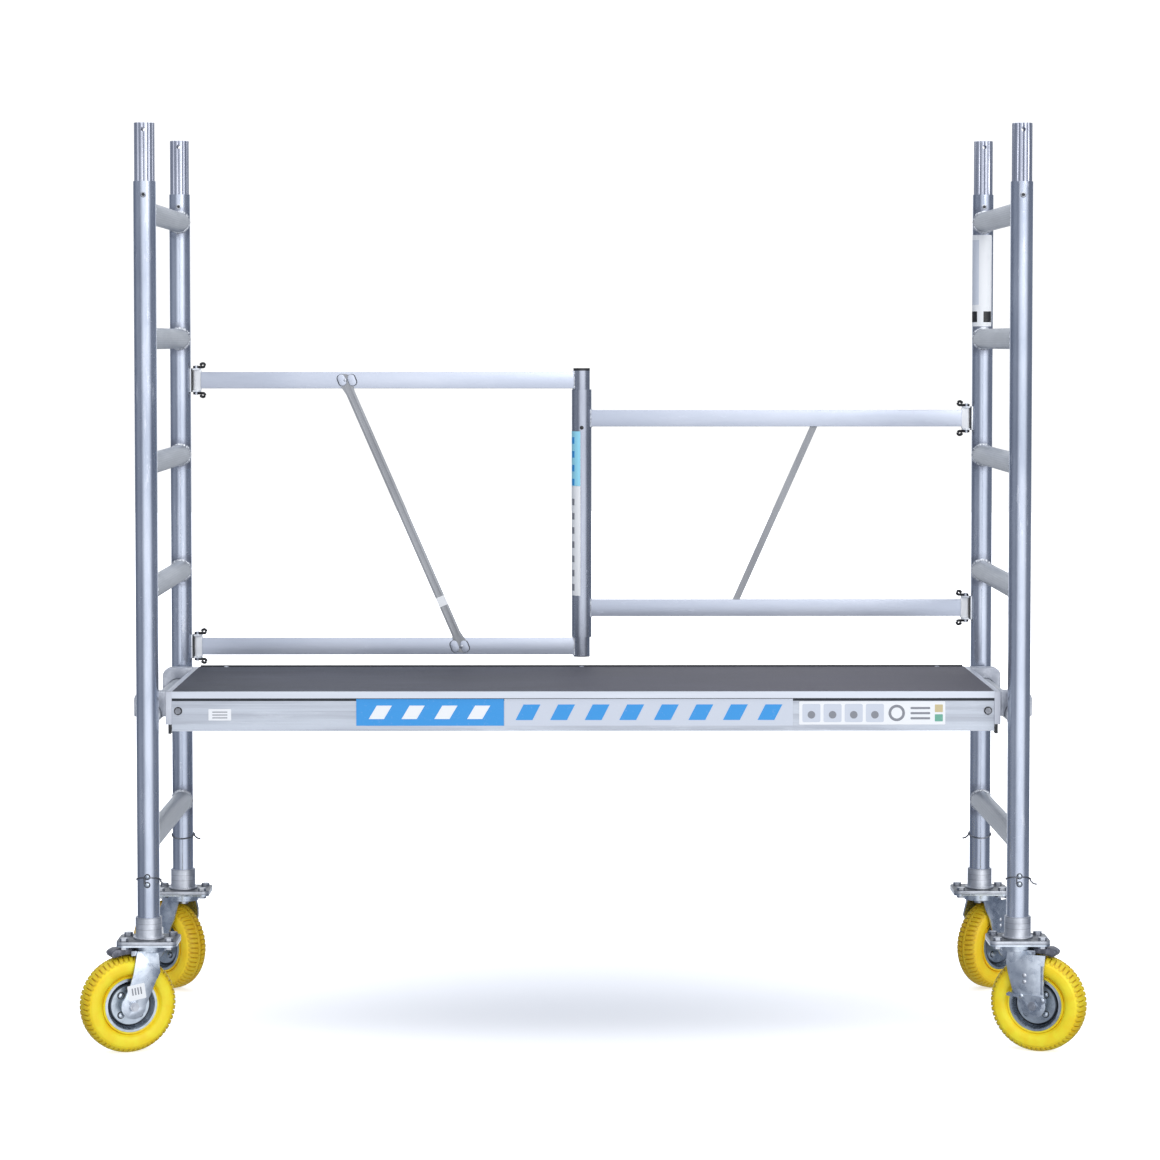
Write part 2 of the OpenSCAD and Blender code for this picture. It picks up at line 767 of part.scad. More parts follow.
module caster_pins(i) {
    head_h = 7.5;
    across = 19;
    color(steel) at_caster(i) {
        translate([trail, 0, wheel_r]) {
            pin_y(axle_d, 2 * (leg_out + head_h + 3));
            translate([0, leg_out, 0]) rotate([-90, 0, 0]) hex(across, head_h);
            translate([0, -leg_out, 0]) rotate([90, 0, 0]) hex(across, head_h);
        }
        translate([pedal_pin[0], 0, pedal_pin[1]]) pin_y(pedal_pin_d, pedal_w + 2 * pedal_ear_t + 1);
    }
}

// Section of the tyre, as radius and half width
module tyre_section() {
    middle = (wheel_r + tyre_lip_r) / 2;
    seat = tyre_seat_d / 2;
    translate([middle, 0]) round_rect(wheel_r - tyre_lip_r, tyre_w, tyre_round);
    translate([seat, -lip_half]) square([middle - seat, 2 * lip_half]);
}

module tyre(i) {
    color("#f2cf1d") at_caster(i) translate([trail, 0, wheel_r]) rotate([90, 0, 0])
        rotate_extrude() difference() {
            tyre_section();
            for (s = [-1, 1])
                translate([0, s * (lip_half + 10)]) square([2 * tyre_lip_r, 20], center = true);
        }
}

// One half section of the rim: radius, then distance from the middle plane
module rim_section() {
    seat = tyre_seat_d / 2;
    well = 3.5;
    square([hub_d / 2, hub_half]);
    translate([seat - lip_t, 0]) square([lip_t, lip_half]);
    translate([rim_disc_r, 0]) square([seat - rim_disc_r - eps, well]);
    translate([seat - lip_t, lip_half - eps]) square([lip_t, lip_t + eps]);
    translate([seat - lip_t, lip_half]) square([lip_t + 3, lip_t]);
    translate([0, rim_disc_half - 3]) square([rim_disc_r, 3]);
    polygon([[rim_disc_r - 3, rim_disc_half - 2], [rim_disc_r, rim_disc_half], [rim_disc_r + 6, well - 1],
             [rim_disc_r + 1, well - 1]]);
}

module rim(i) {
    color(zinc) at_caster(i) translate([trail, 0, wheel_r]) {
        rotate([90, 0, 0]) difference() {
            rotate_extrude() {
                rim_section();
                mirror([0, 1]) rim_section();
            }
            cylinder(d = axle_d + 2 * pin_clear, h = 2 * hub_half + 2, center = true);
            for (a = [45:90:315]) rotate([0, 0, a]) translate([rim_bolt_pcd / 2, 0, 0])
                cylinder(d = rim_bolt_d + 2 * rim_bolt_slack, h = 2 * hub_half, center = true);
        }
        for (a = [45:90:315]) rotate([0, a, 0]) translate([rim_bolt_pcd / 2, 0, 0]) {
            pin_y(rim_bolt_d, 2 * rim_disc_half + 11);
            for (s = [-1, 1]) rotate([s * 90, 0, 0])
                translate([0, 0, rim_disc_half + rim_bolt_slack]) hex(10, 5);
        }
    }
}

module brake_pedal(i) {
    x = pedal_pin[0];
    shoe_r = wheel_r + shoe_gap;
    ceiling = race_bottom + 1;
    pad_w = pedal_w - 2;
    color("#55585e") at_caster(i) difference() {
        union() {
            translate([x, 0, pedal_pin[1]]) pin_y(10, pedal_w);
            rotate([90, 0, 0]) translate([0, 0, -pad_w / 2]) linear_extrude(pad_w) difference() {
                polygon([[x + 1, crown_bottom - 10], [x + 1, ceiling], [x + 36, ceiling],
                         [x + 48, crown_top + 6], [x + 51, crown_bottom - 2],
                         [x + 46, crown_bottom - 12]]);
                translate([trail, wheel_r]) circle(shoe_r, $fn = 128);
            }
        }
        translate([x, 0, pedal_pin[1]]) pin_y(pedal_pin_d + 2 * pin_clear, pedal_w + 2);
    }
}

stile(0);  // left_front_stile
stile(3);  // left_rear_stile
stile(1);  // right_front_stile
stile(2);  // right_rear_stile
rungs(-1);  // left_rungs
rungs(1);  // right_rungs
spigots();
spigot_rivets();
caster_sockets();
caster_plates();
king_pins();
plate_bolts();
lock_clips();
left_hinge_brackets();
right_hinge_brackets();
left_hinge_pins();
left_hinge_clips();
deck_board();
beam(-1);  // front_beam
beam(1);  // rear_beam
end_members();
platform_claws();
cross_members();
beam_bolts();
end_stops();
left_rail(left_top);  // left_top_rail
left_rail(left_bottom);  // left_bottom_rail
inner_post();
post_caps();
left_brace();
left_knuckles();
right_rail(right_top);  // right_top_rail
right_rail(right_bottom);  // right_bottom_rail
outer_post();
right_brace();
right_knuckles();
right_hinge_pins();
right_hinge_clips();
fork(0);  // front_left_fork
caster_pins(0);  // front_left_caster_pins
rim(0);  // front_left_rim
tyre(0);  // front_left_tyre
brake_pedal(0);  // front_left_brake_pedal
fork(1);  // front_right_fork
caster_pins(1);  // front_right_caster_pins
rim(1);  // front_right_rim
tyre(1);  // front_right_tyre
brake_pedal(1);  // front_right_brake_pedal
fork(2);  // rear_right_fork
caster_pins(2);  // rear_right_caster_pins
rim(2);  // rear_right_rim
tyre(2);  // rear_right_tyre
brake_pedal(2);  // rear_right_brake_pedal
fork(3);  // rear_left_fork
caster_pins(3);  // rear_left_caster_pins
rim(3);  // rear_left_rim
tyre(3);  // rear_left_tyre
brake_pedal(3);  // rear_left_brake_pedal
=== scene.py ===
"""Mobile folding scaffold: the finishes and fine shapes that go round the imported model."""

import json
import math

import bmesh
import bpy
from mathutils import Matrix, Vector


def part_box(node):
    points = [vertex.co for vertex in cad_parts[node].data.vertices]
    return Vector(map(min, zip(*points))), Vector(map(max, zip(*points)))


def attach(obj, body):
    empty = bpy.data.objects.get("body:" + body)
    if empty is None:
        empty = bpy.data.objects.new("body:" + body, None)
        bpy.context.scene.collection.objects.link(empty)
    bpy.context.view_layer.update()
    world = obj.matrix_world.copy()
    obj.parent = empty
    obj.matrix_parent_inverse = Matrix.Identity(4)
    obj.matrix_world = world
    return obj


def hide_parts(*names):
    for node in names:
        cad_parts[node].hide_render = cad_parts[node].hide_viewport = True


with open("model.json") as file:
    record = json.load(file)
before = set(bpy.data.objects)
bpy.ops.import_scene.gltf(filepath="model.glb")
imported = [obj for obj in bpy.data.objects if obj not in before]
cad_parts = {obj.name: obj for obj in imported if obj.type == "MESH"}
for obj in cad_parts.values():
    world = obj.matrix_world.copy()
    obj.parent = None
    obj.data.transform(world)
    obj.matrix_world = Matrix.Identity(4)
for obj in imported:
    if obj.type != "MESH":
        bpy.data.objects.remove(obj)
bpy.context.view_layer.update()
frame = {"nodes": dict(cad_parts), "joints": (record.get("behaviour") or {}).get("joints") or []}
NODES = frame["nodes"]
JOINTS = {j["name"]: j for j in frame["joints"]}
CORNERS = ("front_left", "front_right", "rear_right", "rear_left")
TO_FRONT = Matrix.Rotation(math.pi / 2, 4, "X")
TO_REAR = Matrix.Rotation(-math.pi / 2, 4, "X")
TURNED_OVER = Matrix.Rotation(math.pi, 4, "X")
ON_AXIS = 0.00001


# ---------------------------------------------------------------- shader maths


class Value:
    """A socket of a finish, so that shader maths reads as plain sums."""

    def __init__(self, shader, socket):
        self.shader, self.socket = shader, socket

    def _math(self, operation, *values):
        return self.shader.node("ShaderNodeMath", {"operation": operation}, list(values))

    def __add__(self, other):
        return self._math("ADD", self, other)

    def __sub__(self, other):
        return self._math("SUBTRACT", self, other)

    def __rsub__(self, other):
        return self._math("SUBTRACT", other, self)

    def __mul__(self, other):
        return self._math("MULTIPLY", self, other)

    def __truediv__(self, other):
        return self._math("DIVIDE", self, other)

    def __rtruediv__(self, other):
        return self._math("DIVIDE", other, self)

    def __pow__(self, other):
        return self._math("POWER", self, other)

    __radd__, __rmul__ = __add__, __mul__

    def sine(self):
        return self._math("SINE", self)

    def size(self):
        return self._math("ABSOLUTE", self)

    def angle_to(self, other):
        return self._math("ARCTAN2", self, other)

    def wrapped(self, low, high):
        return self._math("WRAP", self, high, low)

    def ramp(self, low, high):
        """0 below low, 1 above high, and smooth between; low above high falls instead."""
        if low > high:
            return 1 - self.ramp(high, low)
        values = {0: self, 1: low, 2: high, 3: 0.0, 4: 1.0}
        return self.shader.node("ShaderNodeMapRange", {"interpolation_type": "SMOOTHSTEP"}, values)


class Shader:
    """Adds nodes to a node tree."""

    def __init__(self, tree):
        self.tree = tree

    def node(self, kind, settings=None, values=None, out=0):
        made = self.tree.nodes.new(kind)
        for name, value in (settings or {}).items():
            setattr(made, name, value)
        pairs = values.items() if isinstance(values, dict) else enumerate(values or [])
        for name, value in pairs:
            socket = made.inputs[name]
            if isinstance(value, Value):
                self.tree.links.new(value.socket, socket)
            else:
                socket.default_value = value
        return Value(self, made.outputs[out])

    def mix(self, share, first, second):
        """A blend of two colours."""
        first, second = (c if isinstance(c, Value) else (*c, 1.0) for c in (first, second))
        return self.node("ShaderNodeMix", {"data_type": "RGBA"}, {0: share, 6: first, 7: second}, out=2)

    def noise(self, where, scale, detail=3.0, rough=0.55):
        return self.node("ShaderNodeTexNoise", None,
                         {"Vector": where, "Scale": scale, "Detail": detail, "Roughness": rough})

    def cells(self, where, scale, feature="F1", out="Distance"):
        return self.node("ShaderNodeTexVoronoi", {"feature": feature}, {"Vector": where, "Scale": scale}, out)

    def place(self):
        """The place on the object, in metres."""
        return self.node("ShaderNodeTexCoord", None, None, "Object")

    def stretched(self, where, scale, centre=(0, 0, 0)):
        shift = tuple(-c * s for c, s in zip(centre, scale))
        return self.node("ShaderNodeMapping", None, {"Vector": where, "Location": shift, "Scale": scale})

    def axes(self, where):
        parts = self.node("ShaderNodeSeparateXYZ", None, {0: where})
        return [Value(self, s) for s in parts.socket.node.outputs]

    def bump(self, height, strength, distance, under=None):
        values = {"Height": height, "Strength": strength, "Distance": distance}
        if under is not None:
            values["Normal"] = under
        return self.node("ShaderNodeBump", None, values)


class Finish(Shader):
    """A material: constants are set on the shader's own sockets, patterns are linked to it."""

    def __init__(self, name, **constants):
        self.material = bpy.data.materials.new(name)
        self.material.use_nodes = True
        super().__init__(self.material.node_tree)
        self.surface = next(n for n in self.tree.nodes if n.type == "BSDF_PRINCIPLED")
        for key, value in constants.items():
            self.set(key, value)

    def set(self, key, value):
        socket = self.surface.inputs[key.replace("_", " ")]
        if isinstance(value, Value):
            self.tree.links.new(value.socket, socket)
        elif isinstance(value, tuple) and len(value) == 3 and socket.type == "RGBA":
            socket.default_value = (*value, 1.0)
        else:
            socket.default_value = value

    def coat(self, colour, rough, height, strength, distance):
        """Sets the colour, the roughness and a bump from the height, and gives the material."""
        self.set("Base Color", colour)
        self.set("Roughness", rough)
        self.set("Normal", self.bump(height, strength, distance))
        return self.material

    def radius_about(self, here, centre, axle):
        """How far a place is from a wheel's axle."""
        arm = self.node("ShaderNodeVectorMath", {"operation": "SUBTRACT"}, {0: here, 1: centre})
        reach = self.node("ShaderNodeVectorMath", {"operation": "LENGTH"}, {0: arm}, "Value")
        across = self.node("ShaderNodeVectorMath", {"operation": "DOT_PRODUCT"}, {0: arm, 1: axle}, "Value")
        return (reach ** 2.0 - across ** 2.0) ** 0.5


# ---------------------------------------------------------------- finishes

# How far a pattern is drawn out along each way that a profile was extruded or drawn
ALONG = {"x": (0.05, 1.0, 1.0), "y": (1.0, 0.05, 1.0), "z": (1.0, 1.0, 0.05)}
# black of the spring wire, also used as the painted shadow in the hinge gaps
SPRING_BLACK_AND_GAP_SHADOW = (0.012, 0.012, 0.014)


def aluminium(name, along, light, dark, rough=0.34, metal=0.85, marks=0.5, draw=0.5):
    """Drawn or extruded aluminium: fine lines along it, cloudy patches and handling marks."""
    f = Finish(name)
    f.set("Metallic", metal)
    here = f.place()
    lined = f.stretched(here, ALONG[along])
    lines = f.noise(lined, 420.0, 2.0)
    broad_lines = f.noise(lined, 90.0, 2.0)
    clouds = f.noise(f.stretched(here, tuple(math.sqrt(a) for a in ALONG[along])), 11.0, 5.0, 0.62)
    spots = f.noise(f.stretched(here, tuple(a ** 0.3 for a in ALONG[along])), 46.0, 4.0, 0.7)
    scuffs = spots.ramp(0.60, 0.72) * f.noise(here, 5.0, 2.0).ramp(0.42, 0.62)
    shade = clouds.ramp(0.30, 0.72) * 0.62 + broad_lines * 0.25 * draw + lines * 0.26 * draw
    colour = f.mix(shade, dark, light)
    bright = tuple(min(1.0, c * 1.22) for c in light)
    return f.coat(f.mix(scuffs * marks, colour, bright),
                  clouds * 0.14 + lines * 0.10 * draw + scuffs * 0.16 + (rough - 0.12),
                  lines * 0.6 * draw + scuffs * 0.8 + spots * 0.3, 0.14, 0.0006)


def stile_aluminium(name, first_rung, rung_pitch, seam_y):
    """Drawn stile tube: lines down it, pale handling marks, and painted shade round each rung's weld."""
    f = Finish(name, Metallic=0.85)
    here = f.place()
    y, z = f.axes(here)[1:]
    lined = f.stretched(here, ALONG["z"])
    lines, broad = f.noise(lined, 420.0, 2.0), f.noise(lined, 90.0, 2.0)
    clouds = f.noise(f.stretched(here, (1.0, 1.0, 0.22)), 11.0, 5.0, 0.62)
    smears = f.noise(f.stretched(here, (1.0, 1.0, 0.16)), 70.0, 4.0, 0.7).ramp(0.56, 0.70)
    spots = f.noise(here, 95.0, 3.0, 0.7).ramp(0.66, 0.74)
    marks = (smears * 0.8 + spots * 0.6) * f.noise(here, 4.2, 2.0).ramp(0.44, 0.60)
    shade = clouds.ramp(0.30, 0.72) * 0.62 + broad * 0.13 + lines * 0.13
    colour = f.mix(shade, (0.37, 0.41, 0.50), (0.68, 0.72, 0.81))
    level = (z - first_rung).wrapped(-rung_pitch / 2, rung_pitch / 2).size()
    near_seam = y.size().ramp(seam_y, seam_y - 0.012)
    # painted shade: the stile is darkened above and below each rung joint, on the side that faces the rungs
    joint_shade = level.ramp(0.046, 0.024) * near_seam * f.noise(here, 80.0, 4.0).ramp(0.25, 0.6)
    marked = f.mix(marks * 0.75, colour, (0.86, 0.89, 0.95))
    return f.coat(f.mix(joint_shade * 0.62, marked, (0.17, 0.18, 0.23)),
                  clouds * 0.14 + lines * 0.05 + marks * 0.16 + joint_shade * 0.2 + 0.13,
                  lines * 0.3 + marks * 0.6, 0.12, 0.0006)


def saddle_zinc(name, gap_shadow_x):
    """Plated hinge saddle with a black band painted as the shadow in the gap where it holds the block."""
    f = Finish(name)
    here = f.place()
    out = f.axes(here)[0].size()
    colour, cloud, tone = zinc_colour(f, here, (0.93, 0.95, 0.97), (0.72, 0.75, 0.80))
    # painted shadow: a black band across the saddle where the gap to the block is
    gap_shadow = out.ramp(gap_shadow_x, gap_shadow_x + 0.0006) * out.ramp(gap_shadow_x + 0.0042, gap_shadow_x + 0.0036)
    f.set("Metallic", 0.25 - gap_shadow * 0.2)
    return f.coat(f.mix(gap_shadow * 0.97, colour, SPRING_BLACK_AND_GAP_SHADOW),
                  cloud * 0.15 + tone * 0.06 + gap_shadow * 0.2 + 0.20,
                  cloud, 0.12, 0.0005)


def hinge_nylon(name, gap_shadow_x):
    """White block with a black band painted as shadow along its outer flank."""
    f = Finish(name)
    here = f.place()
    soft, skin = f.noise(here, 22.0, 4.0), f.noise(here, 900.0, 2.0)
    # painted shadow: black along the block's outer flank, next to the saddle
    gap_shadow = f.axes(here)[0].size().ramp(gap_shadow_x, gap_shadow_x + 0.0006)
    white = f.mix(soft.ramp(0.3, 0.7), (0.86, 0.87, 0.89), (0.95, 0.96, 0.97))
    return f.coat(f.mix(gap_shadow, white, SPRING_BLACK_AND_GAP_SHADOW),
                  soft * 0.12 + skin * 0.08 + 0.30,
                  skin * 0.6 + soft * 0.5, 0.12, 0.0004)


def beam_aluminium(name, lip_bottom, lip_face):
    """Extruded beam: lines along it, a painted shadow right under the lip, a painted highlight on the lip's
    face, and rubbed ribs.
    """
    f = Finish(name, Metallic=0.55)
    here = f.place()
    y, z = f.axes(here)[1:]
    out = y.size()
    lined = f.stretched(here, (0.03, 1.0, 1.0))
    lines, wide = f.noise(lined, 330.0, 2.0), f.noise(lined, 70.0, 3.0)
    clouds = f.noise(f.stretched(here, (0.25, 1.0, 1.0)), 9.0, 5.0, 0.62)
    rubbed = f.noise(f.stretched(here, (0.12, 1.0, 1.0)), 60.0, 5.0, 0.7).ramp(0.55, 0.72)
    shade = wide.ramp(0.32, 0.68) * 0.55 + clouds * 0.30 + lines * 0.15
    colour = f.mix(shade, (0.40, 0.42, 0.47), (0.66, 0.70, 0.76))
    # painted shadow: a near black band right under the lip
    under_lip_shadow = z.ramp(lip_bottom - 0.0072, lip_bottom - 0.0056) * z.ramp(lip_bottom + 0.0004, lip_bottom - 0.0002)
    under_lip_shadow = under_lip_shadow * out.ramp(lip_face - 0.0004, lip_face - 0.0010)
    # painted highlight: the lip's front face is lightened
    lip_highlight = z.ramp(lip_bottom - 0.0002, lip_bottom + 0.0004) * out.ramp(lip_face - 0.0008, lip_face - 0.0004)
    bright = f.mix(lip_highlight * 0.7, f.mix(rubbed * 0.4, colour, (0.78, 0.81, 0.86)), (0.74, 0.77, 0.83))
    return f.coat(f.mix(under_lip_shadow * 0.92, bright, (0.022, 0.026, 0.034)),
                  clouds * 0.14 + lines * 0.08 + under_lip_shadow * 0.3 + 0.30,
                  lines * 0.5 + wide * 0.6, 0.16, 0.0006)


def rung_aluminium(name, first_rung, rung_pitch, ladder_x):
    """Rung tube with fine grip flutes along it, painted darker in their grooves as shade, the same on each
    rung of a ladder.
    """
    f = Finish(name, Metallic=0.75)
    here = f.place()
    x, _, z = f.axes(here)
    level = (z - first_rung).wrapped(-rung_pitch / 2, rung_pitch / 2)
    around = level.angle_to(x.size() - ladder_x)
    flutes = (around * 30.0).sine().ramp(-0.7, 0.9)
    worn = f.noise(f.stretched(here, (1.0, 0.10, 1.0)), 34.0, 5.0, 0.65)
    fine = f.noise(f.stretched(here, ALONG["y"]), 300.0, 2.0)
    colour = f.mix(worn.ramp(0.32, 0.7) * 0.7 + fine * 0.3, (0.36, 0.385, 0.42), (0.62, 0.64, 0.67))
    # painted shade: the grooves between the flutes are darkened
    return f.coat(f.mix((1 - flutes) * 0.22, colour, (0.26, 0.28, 0.32)),
                  worn * 0.2 + fine * 0.08 + 0.32,
                  flutes, 0.16, 0.0005)


def cast_aluminium(name):
    """Sand-cast aluminium with a fine grain, and pits painted darker as shade."""
    f = Finish(name, Metallic=0.7)
    here = f.place()
    grain = f.noise(here, 520.0, 3.0)
    skin = f.noise(here, 26.0, 5.0, 0.6)
    pits = f.cells(here, 380.0).ramp(0.18, 0.05)
    tone = skin.ramp(0.3, 0.72)
    colour = f.mix(tone, (0.36, 0.38, 0.43), (0.66, 0.68, 0.73))
    # painted shade: each pit is darkened
    return f.coat(f.mix(pits * 0.5, colour, (0.20, 0.21, 0.24)),
                  skin * 0.16 + grain * 0.12 + 0.36,
                  grain * 0.7 + skin * 0.8 - pits * 0.8, 0.35, 0.0006)


def turned_aluminium(name, base):
    """Collars with the fine rings that a lathe leaves, on a cast flange, with painted shadow at the foot and
    round the flange's fillet, and painted shade in the grooves.
    """
    f = Finish(name, Metallic=0.75)
    here = f.place()
    z = f.axes(here)[2]
    skin = f.noise(here, 30.0, 5.0, 0.6)
    rings = (z * 2400.0).sine() * 0.5 + 0.5
    grain = f.noise(f.stretched(here, (0.15, 0.15, 1.0)), 900.0, 2.0)
    # painted shadow at the foot of the socket and round the flange's fillet
    flange_fillet_shadow = z.ramp(base + 0.0104, base + 0.0088) * z.ramp(base + 0.0074, base + 0.0080)
    seam_shadow = z.ramp(base + 0.0012, base + 0.0003) + flange_fillet_shadow
    # painted shade in the grooves and at the collar's top edge
    groove_shade = (z - base - 0.030).wrapped(-0.0062, 0.0062).size().ramp(0.0009, 0.0003)
    groove_shade = groove_shade * z.ramp(base + 0.022, base + 0.024)
    metal = f.mix(skin.ramp(0.3, 0.72) * 0.7 + grain * 0.3, (0.38, 0.40, 0.44), (0.72, 0.74, 0.79))
    return f.coat(f.mix(seam_shadow * 0.8 + groove_shade * 0.35, metal, (0.05, 0.055, 0.065)),
                  skin * 0.16 + rings * 0.06 + 0.30,
                  rings * 0.5 + grain * 0.6 + skin * 0.4, 0.30, 0.0005)


def zinc_colour(f, here, light, dark):
    """Bright zinc plating: soft spangles and cloudy blue-grey patches."""
    spangle = f.cells(here, 95.0, "F1", "Color")
    tone = f.axes(spangle)[0]
    cloud = f.noise(here, 16.0, 5.0, 0.6)
    shade = cloud.ramp(0.28, 0.74) * 0.75 + tone * 0.25
    return f.mix(shade, dark, light), cloud, tone


def zinc(name, light=(0.80, 0.85, 0.91), dark=(0.34, 0.39, 0.46), rough=0.20, metal=0.95):
    f = Finish(name, Metallic=metal)
    here = f.place()
    colour, cloud, tone = zinc_colour(f, here, light, dark)
    fine = f.noise(here, 700.0, 2.0)
    scratch = f.noise(f.stretched(here, (0.2, 1.0, 0.6)), 240.0, 3.0, 0.7).ramp(0.62, 0.74)
    return f.coat(f.mix(scratch * 0.35, colour, light),
                  cloud * 0.16 + tone * 0.06 + fine * 0.06 + (rough - 0.06),
                  fine * 0.4 + cloud * 0.8 + scratch * 0.3, 0.16, 0.0006)


def wheel_zinc(name, centre, axle, disc_r, lip_r):
    """Plated wheel centre: a bright disc and lip, with shadow and dust in the well between them."""
    f = Finish(name, Metallic=0.9)
    here = f.place()
    colour, cloud, _ = zinc_colour(f, here, (0.72, 0.79, 0.85), (0.32, 0.37, 0.43))
    radius = f.radius_about(here, centre, axle)
    well = radius.ramp(disc_r - 0.001, disc_r + 0.002) * radius.ramp(lip_r, lip_r - 0.002)
    hub_dust = radius.ramp(0.024, 0.015) * 0.45
    dust = f.noise(here, 60.0, 4.0, 0.7)
    dark = well * 0.80 + hub_dust * dust
    turned = (radius * 5200.0).sine() * 0.5 + 0.5
    f.set("Metallic", 0.92 - well * 0.25)
    return f.coat(f.mix(dark, colour, (0.055, 0.066, 0.085)),
                  cloud * 0.15 + turned * 0.05 + well * 0.22 + 0.20,
                  turned * 0.3 + cloud * 0.7, 0.14, 0.0005)


def black_spring(name):
    f = Finish(name, Metallic=0.2)
    here = f.place()
    worn = f.noise(here, 160.0, 4.0, 0.6)
    return f.coat(f.mix(worn.ramp(0.55, 0.75) * 0.5, SPRING_BLACK_AND_GAP_SHADOW, (0.12, 0.12, 0.13)),
                  worn * 0.2 + 0.28,
                  worn, 0.1, 0.0003)


def moulded(name, light, dark, rough, grain=900.0):
    """Moulded plastic with a light grain."""
    f = Finish(name)
    here = f.place()
    soft = f.noise(here, 22.0, 4.0)
    skin = f.noise(here, grain, 2.0)
    return f.coat(f.mix(soft.ramp(0.3, 0.7), dark, light),
                  soft * 0.12 + skin * 0.08 + (rough - 0.1),
                  skin * 0.6 + soft * 0.5, 0.12, 0.0004)


def deck_film(name, half_width, middle_z):
    """Dark film on the deck board: a fine wire-mesh grip, cloudy wear, a painted sheen that grows lighter to
    the right, and painted shadow along the edges where the deck meets the beams.
    """
    f = Finish(name, Specular_IOR_Level=0.16)
    here = f.place()
    x, y, z = f.axes(here)
    mesh = ((x * 1570.0).sine() * (y * 1570.0).sine()).ramp(-0.1, 0.7)
    clouds = f.noise(f.stretched(here, (0.55, 1.0, 1.0)), 2.2, 5.0, 0.55)
    rub = f.noise(f.stretched(here, (0.35, 1.3, 1.0)), 11.0, 6.0, 0.62)
    dust = f.noise(here, 160.0, 4.0, 0.7)
    tone = clouds.ramp(0.30, 0.70) * 0.6 + rub.ramp(0.35, 0.75) * 0.4
    colour = f.mix(tone, (0.034, 0.038, 0.050), (0.094, 0.098, 0.124))
    # painted sheen: the film grows lighter towards the right
    right_sheen = f.mix(x.ramp(-0.7, 0.7) * 0.50, colour, (0.138, 0.128, 0.148))
    dusty = f.mix(dust.ramp(0.55, 0.8) * 0.16, right_sheen, (0.30, 0.30, 0.33))
    # painted shadow: near black along the front and rear edges, where the deck meets the beam lips
    edge = y.size().ramp(half_width - 0.0045, half_width - 0.0025)
    face = z.ramp(middle_z, middle_z + 0.002)
    return f.coat(f.mix(edge, dusty, (0.010, 0.010, 0.012)),
                  rub * 0.16 + clouds * 0.12 + 0.46,
                  mesh * 0.5 * face + dust * 0.2, 0.22, 0.0004)


def tyre_yellow(name, centre, axle, groove_r, groove_shade, painted_rear_shade):
    """Yellow foamed tyre: satin skin, with painted shade beyond the radius where the tread's grooves are, and
    a deeper orange painted as shade on the rear pair.
    """
    f = Finish(name, Specular_IOR_Level=0.42)
    here = f.place()
    radius = f.radius_about(here, centre, axle)
    soft = f.noise(here, 24.0, 4.0, 0.55)
    skin = f.noise(here, 420.0, 3.0)
    fresh = f.mix(soft.ramp(0.3, 0.7), (0.99, 0.70, 0.012), (1.0, 0.85, 0.032))
    # painted shade: the rear tyres get a deeper orange mixed in
    colour = f.mix(painted_rear_shade, fresh, (0.97, 0.50, 0.006))
    # painted shade in the tread's grooves
    tread_groove_shade = radius.ramp(groove_r, groove_r + 0.005) * groove_shade
    tread = f.mix(tread_groove_shade, colour, (0.42, 0.22, 0.004))
    return f.coat(f.mix(skin.ramp(0.62, 0.8) * 0.2, tread, (0.98, 0.86, 0.20)),
                  soft * 0.14 + skin * 0.10 + 0.36,
                  skin * 0.5 + soft * 0.6, 0.20, 0.0006)


def pedal_coating(name):
    """Grey coated pedal with rubbed patches."""
    f = Finish(name, Metallic=0.35)
    here = f.place()
    rub = f.noise(here, 60.0, 5.0, 0.65)
    fine = f.noise(here, 600.0, 2.0)
    return f.coat(f.mix(rub.ramp(0.45, 0.72), (0.105, 0.108, 0.135), (0.30, 0.31, 0.36)),
                  rub * 0.2 + 0.30,
                  fine * 0.6 + rub * 0.5, 0.2, 0.0005)


def weld_metal(name):
    """Weld bead: bright ripples with a dull oxide between them."""
    f = Finish(name, Metallic=0.8)
    here = f.place()
    ripple = f.noise(here, 190.0, 4.0, 0.6)
    return f.coat(f.mix(ripple.ramp(0.35, 0.65), (0.44, 0.46, 0.50), (0.92, 0.94, 0.97)),
                  ripple * 0.25 + 0.26,
                  ripple, 0.3, 0.0006)


def foil(name, colour, rough=0.38):
    """Printed foil of a sticker, a little scuffed."""
    f = Finish(name, Coat_Roughness=0.25)
    here = f.place()
    scuff = f.noise(here, 130.0, 5.0, 0.7)
    wave = f.noise(here, 14.0, 3.0)
    pale = tuple(c + (1 - c) * 0.35 for c in colour)
    return f.coat(f.mix(scuff.ramp(0.58, 0.78) * 0.45, colour, pale),
                  wave * 0.14 + scuff * 0.14 + (rough - 0.12),
                  wave + scuff * 0.2, 0.08, 0.0006)


# ---------------------------------------------------------------- making pieces


def shifted(by):
    return Matrix.Translation(by)


def mirrored(side):
    """Turned the other way along Y where side is -1."""
    return Matrix.Scale(side, 4, (0, 1, 0))


def centre_of(node):
    low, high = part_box(node)
    return (low + high) / 2


def finish_piece(name, mesh, body, material, stands_for=()):
    """Links a mesh whose place is in its points, gives it its finish and puts it on its body."""
    mesh.name = name
    mesh.materials.clear()
    mesh.materials.append(material)
    piece = bpy.data.objects.new(name, mesh)
    bpy.context.scene.collection.objects.link(piece)
    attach(piece, body)
    if stands_for:
        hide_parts(*stands_for)
    return piece


def face_outward(mesh, weld=None):
    """Turns every face outward, after welding points that are closer than weld."""
    work = bmesh.new()
    work.from_mesh(mesh)
    if weld:
        bmesh.ops.remove_doubles(work, verts=work.verts, dist=weld)
    bmesh.ops.recalc_face_normals(work, faces=work.faces)
    work.to_mesh(mesh)
    work.free()


